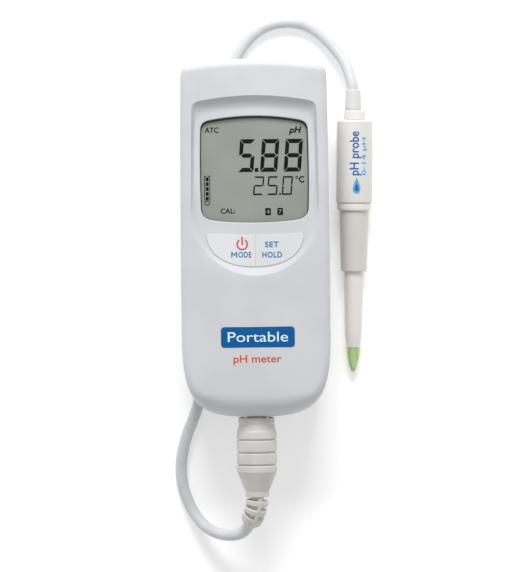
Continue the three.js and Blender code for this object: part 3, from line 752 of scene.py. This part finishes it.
# ---- lettering ----
def letters(text, bold=0.0, slant=0.0, spread=1.0):
    """A flat bmesh of text with its left end and baseline at the origin and capitals one unit high."""
    sizes = {}
    for key, body in (("cap", "H"), ("text", text)):
        curve = bpy.data.curves.new(key, "FONT")
        curve.body = body
        curve.shear = slant
        curve.offset = bold
        curve.space_character = spread
        curve.resolution_u = 6
        made = bpy.data.objects.new(key, curve)
        bpy.context.collection.objects.link(made)
        bpy.context.view_layer.update()
        shaped = made.evaluated_get(bpy.context.evaluated_depsgraph_get())
        sizes[key] = bpy.data.meshes.new_from_object(shaped)
        bpy.data.objects.remove(made)
    cap = max(v.co.y for v in sizes["cap"].vertices)
    left = min(v.co.x for v in sizes["text"].vertices)
    bm = bmesh.new()
    bm.from_mesh(sizes["text"])
    bmesh.ops.translate(bm, vec=(-left, 0, 0), verts=bm.verts)
    bmesh.ops.scale(bm, vec=(1 / cap, 1 / cap, 1), verts=bm.verts)
    bmesh.ops.remove_doubles(bm, verts=bm.verts, dist=1e-4)
    return bm


def fitted(text, x_range, baseline, cap, z, bold=0.0, slant=0.0, spread=1.0):
    """Text stretched to a width and a capital height, as a thin raised film."""
    bm = letters(text, bold, slant, spread)
    width = max(v.co.x for v in bm.verts)
    bmesh.ops.scale(bm, vec=((x_range[1] - x_range[0]) / width, cap, 1), verts=bm.verts)
    bmesh.ops.translate(bm, vec=(x_range[0], baseline, z), verts=bm.verts)
    return raised(bm)


def raised(bm, thick=PRINT_THICK):
    """Gives flat faces a small thickness upward."""
    made = bmesh.ops.extrude_face_region(bm, geom=bm.faces[:])
    moved = [item for item in made["geom"] if isinstance(item, bmesh.types.BMVert)]
    bmesh.ops.translate(bm, vec=(0, 0, thick), verts=moved)
    return bm


def flat_shape(outlines, z):
    """Thin film over each outline."""
    bm = bmesh.new()
    for outline in outlines:
        fill(bm, loop(bm, [(point[0], point[1], z) for point in outline]))
    return raised(bm)


def arc_turns(start, end, steps):
    return [math.radians(start + (end - start) * step / steps) for step in range(steps + 1)]


def arc_band(centre, radius, width, start, end, steps=36):
    """The outline of part of a ring, between two angles in degrees."""
    outline = []
    for reach, first, last in ((radius, start, end), (radius - width, end, start)):
        for angle in arc_turns(first, last, steps):
            outline.append((centre[0] + reach * math.cos(angle), centre[1] + reach * math.sin(angle)))
    return outline


def merged(parts):
    """One bmesh from several."""
    whole = bmesh.new()
    for part in parts:
        mesh = bpy.data.meshes.new("part")
        part.to_mesh(mesh)
        part.free()
        whole.from_mesh(mesh)
        bpy.data.meshes.remove(mesh)
    return whole


# ---- display ----
SEGMENTS = {"0": "abcdef", "2": "abdeg", "5": "acdfg", "8": "abcdefg"}


def digit(figure, x, y, width, height, stroke, lean):
    """The lit segments of one slanted seven-segment figure."""
    gap = stroke * 0.09
    mid, half = height / 2, stroke / 2
    shapes = {
        "a": [
            (gap, height), (width - gap, height),
            (width - stroke, height - stroke), (stroke, height - stroke),
        ],
        "d": [(stroke, stroke), (width - stroke, stroke), (width - gap, 0), (gap, 0)],
        "g": [
            (stroke + gap, mid + half), (width - stroke - gap, mid + half), (width - half, mid),
            (width - stroke - gap, mid - half), (stroke + gap, mid - half), (half, mid),
        ],
        "f": [
            (0, height - gap * 2), (stroke - gap, height - stroke - gap), (stroke - gap, mid + half + gap),
            (half - gap, mid + gap * 2), (0, mid + gap * 2),
        ],
        "e": [
            (0, mid - gap * 2), (half - gap, mid - gap * 2), (stroke - gap, mid - half - gap),
            (stroke - gap, stroke + gap), (0, gap * 2),
        ],
    }
    shapes["b"] = [(width - px, py) for px, py in shapes["f"]]
    shapes["c"] = [(width - px, py) for px, py in shapes["e"]]
    return [[(x + px + lean * py / height, y + py) for px, py in shapes[key]] for key in SEGMENTS[figure]]


def bar(x0, y0, x1, y1):
    return [(x0, y0), (x1, y0), (x1, y1), (x0, y1)]


def battery_gauge():
    """Five filled cells between two thin walls, over a small round cap."""
    middle, half, low, high = -20.2, 1.25, 15.3, 26.6
    shapes = [bar(middle - half, low, middle + half, low + 0.35)]
    for side in (-1, 1):
        wall = [(half, low + 0.6), (half - 0.3, low + 0.6), (half - 0.3, high - 0.4)]
        wall += [(half - 0.9, high - 0.4), (half - 0.9, high), (half, high)]
        shapes.append([(middle + side * x, y) for x, y in wall])
    for cell in range(5):
        base = low + 0.65 + cell * 2.08
        shapes.append(bar(middle - 0.62, base, middle + 0.62, base + 1.6))
    shapes.append(arc_band((middle, low - 0.25), half, 0.35, 180, 360))
    return shapes


def display():
    z = LCD_Z + 0.02
    shapes = digit("5", -7.0, 28.0, 6.6, 14.0, 1.8, 1.1)
    shapes += digit("8", 2.4, 28.0, 7.4, 14.0, 1.8, 1.1) + digit("8", 12.5, 28.0, 7.4, 14.0, 1.8, 1.1)
    shapes.append(bar(0.2, 28.0, 1.75, 29.7))
    for figure, x in (("2", -0.7), ("5", 5.3), ("0", 11.6)):
        shapes += digit(figure, x, 18.1, 4.3, 8.0, 0.68, 0.65)
    shapes.append(bar(10.5, 18.1, 11.3, 18.9))
    shapes += battery_gauge()
    parts = [
        flat_shape(shapes, z),
        fitted("ATC", (-21.0, -15.1), 44.9, 2.25, z, 0.02),
        fitted("pH", (14.9, 20.4), 44.6, 2.75, z, 0.03, 0.25),
        fitted("CAL:", (-14.6, -8.4), 10.4, 2.05, z, 0.02),
        fitted("C", (19.0, 21.3), 23.4, 2.6, z, 0.03),
        flat_shape([arc_band((18.15, 25.5), 0.6, 0.28, 0, 352)], z),
    ]
    for centre in (5.7, 10.85):
        parts.append(flat_shape([rounded_box(1.2, 1.55, 0.4, (centre, 11.0), 3)], z))
    finish_piece("lcd_figures", merged(parts), "meter", "lcd_panel", look=LCD_INK)
    spans = {"4": (5.05, 6.35), "7": (10.3, 11.45)}
    numbers = [fitted(figure, span, 10.15, 1.7, z + 0.05, 0.012) for figure, span in spans.items()]
    finish_piece("lcd_buffer_numbers", merged(numbers), "meter", "lcd_panel")
    panel = slab(rounded_box(23.9, 23.0, 0.6, (0, 29.2)), 35.0, LCD_Z, 0.1)
    finish_piece("lcd_cell", panel, "meter", "lcd_panel", ["lcd_glass"])
    lens = slab(grown(window_outline(), -0.12), LENS_Z - 0.7, LENS_Z, 0.15)
    finish_piece("window_lens", lens, "meter", "window_plastic", ["display_window"])
    # A dark border under the lens edge. It is print at the sides and bottom, and it is shifted down so that
    # its wide top band is a painted shadow of the opening's upper edge on the display.
    bm = bmesh.new()
    edge = grown(window_outline(), 0.3)
    inner = [Vector((point.x, point.y - 0.5)) for point in grown(edge, -0.75)]
    skin(bm, [at(edge, z), at(inner, z)])
    finish_piece("window_border_and_painted_shadow", raised(bm), "meter", "lcd_panel", look=LCD_BORDER_AND_SHADOW)


# ---- keys ----
def key_cap(side, name, body, stands_for):
    """Half of the crescent, with a soft edge and a fine straight split."""
    bm = slab(key_crescent(), KEY_TOP_Z - 3.8, KEY_TOP_Z, KEY_EDGE, 4)
    geom = bm.verts[:] + bm.edges[:] + bm.faces[:]
    spot, way = (side * KEY_SPLIT, 0, 0), (side, 0, 0)
    cut = bmesh.ops.bisect_plane(bm, geom=geom, plane_co=spot, plane_no=way, clear_inner=True)
    rim = [item for item in cut["geom_cut"] if isinstance(item, bmesh.types.BMEdge)]
    bmesh.ops.triangle_fill(bm, edges=rim)
    finish_piece(name, bm, body, "key_plastic", [stands_for])


def keys():
    key_cap(-1, "mode_key_cap", "mode_key", "mode_key")
    key_cap(1, "hold_key_cap", "hold_key", "hold_key")
    z = KEY_TOP_Z + 0.01
    side, foot, peak, valley = 0.46, 0, 2.35, 0.5
    left, right, middle = -10.3, -7.8, -9.05
    big_m = [(left, foot), (left + side, foot), (left + side, 1.65), (middle, valley), (right - side, 1.65)]
    big_m += [(right - side, foot), (right, foot), (right, peak), (right - side, peak), (middle, 1.2)]
    big_m += [(left + side, peak), (left, peak)]
    baseline = -8.5
    first = flat_shape([[(x, y + baseline) for x, y in big_m]], z)
    mode = merged([first, fitted("ODE", (-7.3, -1.7), baseline, peak, z, 0.02, 0, 1.08)])
    finish_piece("mode_legend", mode, "mode_key", "key_plastic", look=INK_BLUE)
    hold = merged([
        fitted("SET", (4.1, 9.9), -4.2, peak, z, 0.02, 0, 1.1),
        fitted("HOLD", (2.9, 11.3), -8.6, peak, z, 0.02, 0, 1.1),
    ])
    finish_piece("hold_legend", hold, "hold_key", "key_plastic", look=INK_BLUE)
    ring = arc_band((-5.6, -2.95), 2.5, 0.68, -236, 56)
    icon = flat_shape([ring, bar(-5.95, -3.2, -5.25, 0.3)], z)
    finish_piece("power_icon", icon, "mode_key", "key_plastic", look=INK_RED)


# ---- badge and legend on the front ----
def front_print():
    outline = rounded_box(15.7, 4.4, 1.5, (0.6, -42.45), 6)
    z = crown_z(8, -42)
    badge = slab(outline, z - 0.5, crown_z(0, -42) + 0.05, 0.12)
    finish_piece("badge_label", badge, "meter", "badge_blue", ["badge_plate"])
    face = crown_z(0, -42) + 0.06
    word = fitted("Portable", (-12.2, 13.4), -44.4, 4.15, face)
    finish_piece("badge_word", word, "meter", "badge_blue", look=INK_WHITE)
    name = fitted("pH meter", (-9.9, 10.6), -53.2, 3.15, 0, 0.014)
    for vert in name.verts:
        vert.co.z += crown_z(vert.co.x, vert.co.y)
    finish_piece("front_legend", name, "meter", "case_plastic", look=INK_ORANGE)


# ---- plug ----
def plug():
    """The soft plug body: collar, grooved grip, cone and neck, all about the plug's axis."""
    collar = CASE_BOTTOM_Y - 0.35
    rings = [(7.8, collar), (7.85, -79.6), (7.6, -80.0), (8.2, -82.9), (8.5, -83.4)]
    for groove in (-86.8, -92.3, -97.6):
        rings += [(8.62, groove + 0.75), (8.5, groove + 0.42), (7.85, groove + 0.12)]
        rings += [(7.85, groove - 0.12), (8.5, groove - 0.42), (8.62, groove - 0.75)]
    rings += [(8.6, -100.7), (8.35, -101.1), (5.35, -108.6), (5.05, -109.2), (5.0, -111.5), (0, -111.5)]
    profile = [(0, -92.6), (5.9, -92.6), (5.9, collar)] + rings
    bm = spun(round_corners(profile, 0.3, 3), 72)
    grip = finish_piece("plug_grip", bm, "probe_lead", "plug_rubber", ["plug_overmould"], PLUG_TO_ROW)
    ring = [(5.5, -92.2), (5.5, -69.0), (5.3, -68.6), (4.8, -68.6), (4.7, -69.0), (4.7, -92.2)]
    shell = finish_piece("plug_shell", spun(ring), "probe_lead", "nickel", ["plug_barrel"], PLUG_TO_ROW)
    parts = [spun(round_corners([(0, -92), (4.4, -92), (4.4, -70), (0, -70)], 0.3))]
    for turn in range(5):
        angle = math.radians(45 + turn * 67.5)
        pin = spun(round_corners([(0, -71), (0.45, -71), (0.45, -68.9), (0, -68.7)], 0.2), 12)
        bmesh.ops.translate(pin, vec=(2.6 * math.cos(angle), 2.6 * math.sin(angle), 0), verts=pin.verts)
        parts.append(pin)
    core = finish_piece("plug_core", merged(parts), "probe_lead", "chip_black", ["plug_insert"], PLUG_TO_ROW)
    cup = [(0, -66.8), (7, -66.8), (7, -76.7), (5.9, -76.7), (5.9, -68.2), (0, -68.2)]
    finish_piece("socket_cup", spun(cup), "meter", "chip_black", ["socket_body"], PLUG_TO_ROW)
    return [grip, shell, core]


RELIEF_ROUTE = (
    (0, -111.5, 27), (-0.1, -113.2, 26.95), (-0.6, -116.4, 26.4), (-1.5, -119.4, 25), (-2.7, -122.2, 22.8),
)
RELIEF_STEPS = 60
RELIEF_BARS = ((7, 18), (24, 35), (42, 60))
RELIEF_CORE = 2.75


def along(route, steps):
    """Evenly spread (place, direction) pairs on a smooth line through a route."""
    spots = [Vector(spot) for spot in route]
    line = []
    for i in range(len(spots) - 1):
        before = spots[i] + (spots[i + 1] - spots[max(i - 1, 0)]) / 6
        after = spots[i + 1] - (spots[min(i + 2, len(spots) - 1)] - spots[i]) / 6
        line += interpolate_bezier(spots[i], before, after, spots[i + 1], 9)[:-1]
    line.append(spots[-1])
    lengths = [0.0]
    for a, b in zip(line, line[1:]):
        lengths.append(lengths[-1] + (b - a).length)
    spread = []
    for step in range(steps + 1):
        goal = lengths[-1] * step / steps
        i = next(k for k in range(1, len(line)) if lengths[k] >= goal - 1e-9)
        share = (goal - lengths[i - 1]) / (lengths[i] - lengths[i - 1])
        spread.append((line[i - 1].lerp(line[i], share), (line[i] - line[i - 1]).normalized()))
    return spread


def oval_ring(place, direction, half_wide, half_high, steps=28):
    """A ring across a line: wide sideways, high upward."""
    across = direction.cross(Vector((0, 0, 1))).normalized()
    up = across.cross(direction).normalized()
    turns = [math.tau * step / steps for step in range(steps)]
    return [place + across * half_wide * math.cos(a) + up * half_high * math.sin(a) for a in turns]


def strain_relief():
    """The ladder-like sleeve that bends with the lead: cross bars joined by a spine, over a slim core."""
    spots = along(RELIEF_ROUTE, RELIEF_STEPS)
    parts = [solid([oval_ring(*spot, RELIEF_CORE, RELIEF_CORE) for spot in spots[::4]])]
    for start, end in RELIEF_BARS:
        rings = []
        for i in range(start, end + 1):
            edge = min(i - start, end - i)
            radius = 4.95 - 0.3 * i / RELIEF_STEPS - (0.45, 0.1, 0)[min(edge, 2)]
            rings.append(oval_ring(*spots[i], radius, radius * 0.88))
        parts.append(solid(rings))
    spine = []
    for step, (place, direction) in enumerate(spots[::3]):
        across = direction.cross(Vector((0, 0, 1))).normalized()
        up = across.cross(direction).normalized()
        offset = across * (-1.0 - 0.03 * step) + up * RELIEF_CORE
        spine.append(oval_ring(place + offset, direction, 1.05, 1.5))
    parts.append(solid(spine))
    return finish_piece("lead_relief", merged(parts), "probe_lead", "plug_rubber", ["strain_relief"])


# ---- lead ----
LOWER_ROUTE = (
    (-2.95, -122.65, 22.45), (-4.8, -126.1, 19.6), (-7.9, -128.4, 17.2), (-11.7, -129.1, 14.8),
    (-15.5, -128.9, 12), (-19.9, -127.4, 8.8), (-24.3, -124.1, 5.6), (-27.9, -118.9, 3.5),
    (-30.8, -112.3, 2.6), (-32.3, -106.3, 2.5), (-32.7, -101, 2.5), (-32.3, -95.4, 2.5),
    (-31.1, -89.8, 2.5), (-29.4, -84.5, 2.5), (-27.3, -79.3, 2.5), (-25.2, -73.5, 2.5),
    (-23.9, -66, 2.5), (-23.6, -56, 2.6), (-24.3, -44, 2.9), (-25.1, -33.5, 3.2),
)
UPPER_ROUTE = (
    (-18.8, 37.5, 8.3), (-17.4, 46, 7.4), (-15, 55, 5.6), (-12.2, 64, 3.7), (-9.3, 72.5, 2.7),
    (-6.7, 79.5, 2.5), (-4.2, 84, 2.5), (-0.5, 88.4, 2.5), (4.3, 92.2, 2.5), (9.5, 94.4, 2.5),
    (14.8, 95.3, 2.5), (19.5, 95.1, 2.5), (24.4, 93.8, 2.6), (29.3, 90.9, 3), (34, 86.6, 3.9),
    (37.9, 81.9, 5.3), (41.3, 76.5, 7.5), (43, 71.5, 9.5), (43.75, 68.1, 10.6), (44.15, 65.6, 11.1),
)
# The lead's two ends, hidden in the strain relief and in the probe's boot.
INSIDE_RELIEF = (-2.2, -121.2, 23.7)
INSIDE_BOOT = (44.25, 62.0, 10.85)


def half_turn(radius_in, radius_out, upper, z_in, z_out):
    """Half a turn of the hank, clockwise seen from above, from one long side to the other."""
    sign = 1 if upper else -1
    centre_x = sign * (radius_out - radius_in) / 2
    radius = (radius_in + radius_out) / 2
    points = []
    for step in range(9):
        share = step / 8
        angle = math.pi - math.pi * share if upper else -math.pi * share
        x = centre_x + radius * math.cos(angle)
        y = sign * HANK_STRAIGHT / 2 + radius * math.sin(angle)
        points.append((x, y, z_in + (z_out - z_in) * share))
    return points


def hank_route():
    """Three turns wound inward on the lower layer, then outward again on the upper one."""
    wide, middle, narrow = HANK_RADII
    low, high = HANK_LOW_Z, HANK_HIGH_Z
    runs = [
        (wide, wide, True, low, low), (wide, middle, False, low, low),
        (middle, middle, True, low, low), (middle, narrow, False, low, low),
        (narrow, narrow, True, low, low), (narrow, narrow, False, low, high),
        (narrow, narrow, True, high, high), (narrow, middle, False, high, high),
    ]
    points = []
    for radius_in, radius_out, upper, z_in, z_out in runs:
        turn = half_turn(radius_in, radius_out, upper, z_in, z_out)
        if points:
            points.append(tuple((a + b) / 2 for a, b in zip(points[-1], turn[0])))
        points += turn
    points.append((-middle, 0, high))
    points.append((-middle, HANK_STRAIGHT / 2, high))
    points.append((-middle + 0.35, HANK_STRAIGHT / 2 + 12, high))
    return points


def lead():
    """The whole lead as one curve from the strain relief, round the tied hank, to the probe's boot."""
    route = [INSIDE_RELIEF, *LOWER_ROUTE, *hank_route(), *UPPER_ROUTE, INSIDE_BOOT]
    curve = bpy.data.curves.new("probe_cord", "CURVE")
    curve.dimensions = "3D"
    curve.bevel_depth = CORD_RADIUS / 1000
    curve.bevel_resolution = 6
    curve.resolution_u = 8
    curve.use_fill_caps = True
    spline = curve.splines.new("BEZIER")
    spline.bezier_points.add(len(route) - 1)
    for point, spot in zip(spline.bezier_points, route):
        point.co = TO_ROW @ Vector(spot)
        point.handle_left_type = "AUTO"
        point.handle_right_type = "AUTO"
    curve.materials.append(LOOKS["cord_jacket"])
    cord = bpy.data.objects.new("probe_cord", curve)
    bpy.context.collection.objects.link(cord)
    return enrol(cord, "probe_lead", ["lead_lower_run", "lead_hank", "lead_upper_run"])


def hank_tie(side):
    """A strap pulled round one long side of the hank."""
    layers = {HANK_LOW_Z: HANK_RADII, HANK_HIGH_Z: HANK_RADII[1:] if side < 0 else HANK_RADII[2:]}
    touching = []
    for z, radii in layers.items():
        for radius in radii:
            touching += circle(CORD_RADIUS + 0.2, (side * radius, z), 40)
    hull = [touching[i] for i in convex_hull_2d(touching)]
    area = sum(a.x * b.y - b.x * a.y for a, b in zip(hull, hull[1:] + hull[:1]))
    if area < 0:
        hull.reverse()
    bm = bmesh.new()
    section = [(0, -3.9), (0, 3.9), (0.1, 4), (0.45, 4), (0.5, 3.9)]
    section += [(0.5, -3.9), (0.45, -4), (0.1, -4), (0, -3.9)]
    skin(bm, [[Vector((p.x, y, p.y)) for p in grown(hull, out)] for out, y in section])
    name, node = (("left_tie", "hank_tie_left"), ("right_tie", "hank_tie_right"))[side > 0]
    return finish_piece(name, bm, "probe_lead", "tie_plastic", [node])


# ---- probe ----
def probe_part(name, profile, slot, rounding=0.3, steps=64, look=None, aside=0.0):
    """A turned piece of the probe, which stands for the CAD node of its name."""
    bm = spun(round_corners(profile, rounding, 3), steps)
    bmesh.ops.translate(bm, vec=(aside, 0, 0), verts=bm.verts)
    finish_piece(name, bm, "probe_lead", slot, ["probe_" + name], PROBE_AXIS_TO_ROW, look)


def on_head(bm, radius):
    """Wraps a flat shape, drawn along X as the way round and Y as the way along, onto the probe head."""
    for step in range(-9, 10):
        geom = bm.verts[:] + bm.edges[:] + bm.faces[:]
        bmesh.ops.bisect_plane(bm, geom=geom, plane_co=(step * 0.5, 0, 0), plane_no=(1, 0, 0))
    for vert in bm.verts:
        angle = vert.co.x / radius
        height = radius + vert.co.z
        vert.co = (height * math.sin(angle), vert.co.y, height * math.cos(angle))
    return bm


def upward_text(text, x_base, y_start, length, cap, bold):
    """Text that reads toward the lead, its baseline on the right."""
    bm = fitted(text, (0, length), 0, cap, 0.01, bold)
    bmesh.ops.rotate(bm, cent=(0, 0, 0), matrix=Matrix.Rotation(math.pi / 2, 3, "Z"), verts=bm.verts)
    bmesh.ops.translate(bm, vec=(x_base, y_start, 0), verts=bm.verts)
    return bm


def drop_shape(x, y, size, z):
    """A plain water drop."""
    outline = []
    for turn in arc_turns(360, 0, 40)[1:]:
        pinch = math.sin(turn / 2) ** 1.6
        outline.append((x + size * 0.78 * math.sin(turn) * pinch, y + size * 1.15 * math.cos(turn)))
    return flat_shape([outline], z)


def probe():
    boot = [(0, 40.6), (3.6, 40.6), (3.55, 43), (3.3, 48.2), (3.2, 49.6)]
    boot += [(2.62, 49.6), (2.62, 45.5), (0, 45.5)]
    probe_part("boot", boot, "cord_jacket", 0.4, look=BOOT_RUBBER, aside=BOOT_ASIDE)
    probe_part("collar", [(0, 36.45), (4.85, 36.45), (4.55, 40.5), (0, 40.5)], "probe_plastic", 0.5)
    head = [(0, 33.4), (5.7, 33.4), (5.7, 0), (7.6, 0), (HEAD_RADIUS, 0.6)]
    head += [(HEAD_RADIUS, 35.6), (7.4, 36.4), (0, 36.4)]
    probe_part("head", head, "probe_plastic", 0.4, 96)
    probe_part("head_ring", [(0, -3.3), (7.1, -3.3), (7.45, -2.8), (7.45, -0.06), (0, -0.06)], "probe_tube")
    sleeve = [(4.5, -3.3), (4.5, -29.9), (5.6, -29.9), (5.7, -29.2), (6.45, -4.2), (6.45, -3.3)]
    probe_part("sleeve", sleeve, "probe_tube", 0.25, look=SLEEVE_PLASTIC)
    shaft = [(2.5, -63.6), (2.9, -63.6), (3.0, -62.8), (3.55, -58.6), (3.72, -56.5)]
    shaft += [(4.3, -30.1), (4.3, -6), (2.5, -6)]
    probe_part("shaft", shaft, "probe_tube", 0.4)
    bulb = [(0, -74.7), (0.3, -74.6), (0.85, -73.8), (1.75, -71.6), (2.45, -68.9), (2.85, -66.2)]
    bulb += [(2.92, -63.75), (2.1, -63.9), (2.1, -60), (0, -60)]
    probe_part("glass_tip", bulb, "probe_glass", 0.25)
    word = merged([upward_text("pH probe", 1.3, 12.2, 19.2, 3.9, 0.02), drop_shape(0.5, 7.2, 1.7, 0.06)])
    scale = merged([upward_text("0-14 pH", 4.7, 12.2, 16.5, 1.9, 0.02), drop_shape(0.5, 7.9, 3.2, 0.01)])
    for name, bm, ink in (("probe_name", word, INK_DEEP_BLUE), ("probe_range", scale, INK_SKY)):
        finish_piece(name, on_head(bm, HEAD_RADIUS), "probe_lead", "probe_plastic", (), PROBE_TO_ROW, ink)


# ---- carried-over nodes ----
def dress_nodes():
    """Gives every CAD node its slot's finish."""
    slots = {row["node"]: row["material_slot"] for row in frame["record"]["subparts"]}
    for name, node in frame["nodes"].items():
        node.data.materials.clear()
        node.data.materials.append(LOOKS[slots[name]])


# ---- camera, floor and light ----
EYE = (-30.2, -21.0, 1127)
AIM = (-0.85, -20.7, 27)
LENS = 160.7
ROLL = 0.65
KEY_LIGHT = {"spot": (-0.05, 0.95, 0.74), "aim": (0, 0, 0), "size": (0.6, 0.4), "power": 12.3}
AMBIENT = 0.56
FLOOR_DROP = 0.0002


def camera():
    view = bpy.data.cameras.new("camera")
    view.lens = LENS
    view.sensor_width = 36
    view.sensor_fit = "AUTO"
    view.clip_end = 10
    eye = bpy.data.objects.new("camera", view)
    place, aim = TO_ROW @ Vector(EYE), TO_ROW @ Vector(AIM)
    back = (place - aim).normalized()
    right = Vector((0, 1, 0)).cross(back).normalized()
    level = Matrix((right, back.cross(right), back)).transposed()
    eye.location = place
    eye.rotation_euler = (level @ Matrix.Rotation(math.radians(-ROLL), 3, "Z")).to_euler()
    bpy.context.collection.objects.link(eye)
    bpy.context.scene.camera = eye


def softbox(name, spot, aim, size, power):
    lamp = bpy.data.lights.new(name, "AREA")
    lamp.shape = "RECTANGLE"
    lamp.size, lamp.size_y = size
    lamp.energy = power
    box = bpy.data.objects.new(name, lamp)
    box.location = spot
    box.rotation_euler = (Vector(spot) - Vector(aim)).to_track_quat("Z", "Y").to_euler()
    bpy.context.collection.objects.link(box)


def studio():
    bpy.context.scene.view_settings.view_transform = "Standard"
    world = bpy.data.worlds.new("studio")
    world.use_nodes = True
    world.node_tree.nodes["Background"].inputs[0].default_value = (1, 1, 1, 1)
    world.node_tree.nodes["Background"].inputs[1].default_value = AMBIENT
    bpy.context.scene.world = world
    softbox("key_light", **KEY_LIGHT)
    bm = bmesh.new()
    bmesh.ops.create_grid(bm, x_segments=8, y_segments=8, size=3)
    floor = placed("floor", bm, Matrix.Translation((0, 0, -FLOOR_DROP)))
    floor.data.materials.append(floor_finish())


camera()
cord = lead()
ties = [hank_tie(-1), hank_tie(1)]
plug_pieces = plug()
relief = strain_relief()
front_case()
back_case()
battery_door()
for number, (screw_x, screw_y) in enumerate(CASE_SCREWS, 1):
    screw(f"case_screw_{number}", screw_x, screw_y, **CASE_SCREW_SIZE)
for number, end in enumerate((-1, 1), 1):
    screw(f"cover_screw_{number}", 0, COVER_Y + end * COVER_SCREW_OFFSET, **COVER_SCREW_SIZE)
display()
keys()
front_print()
probe()
dress_nodes()
studio()
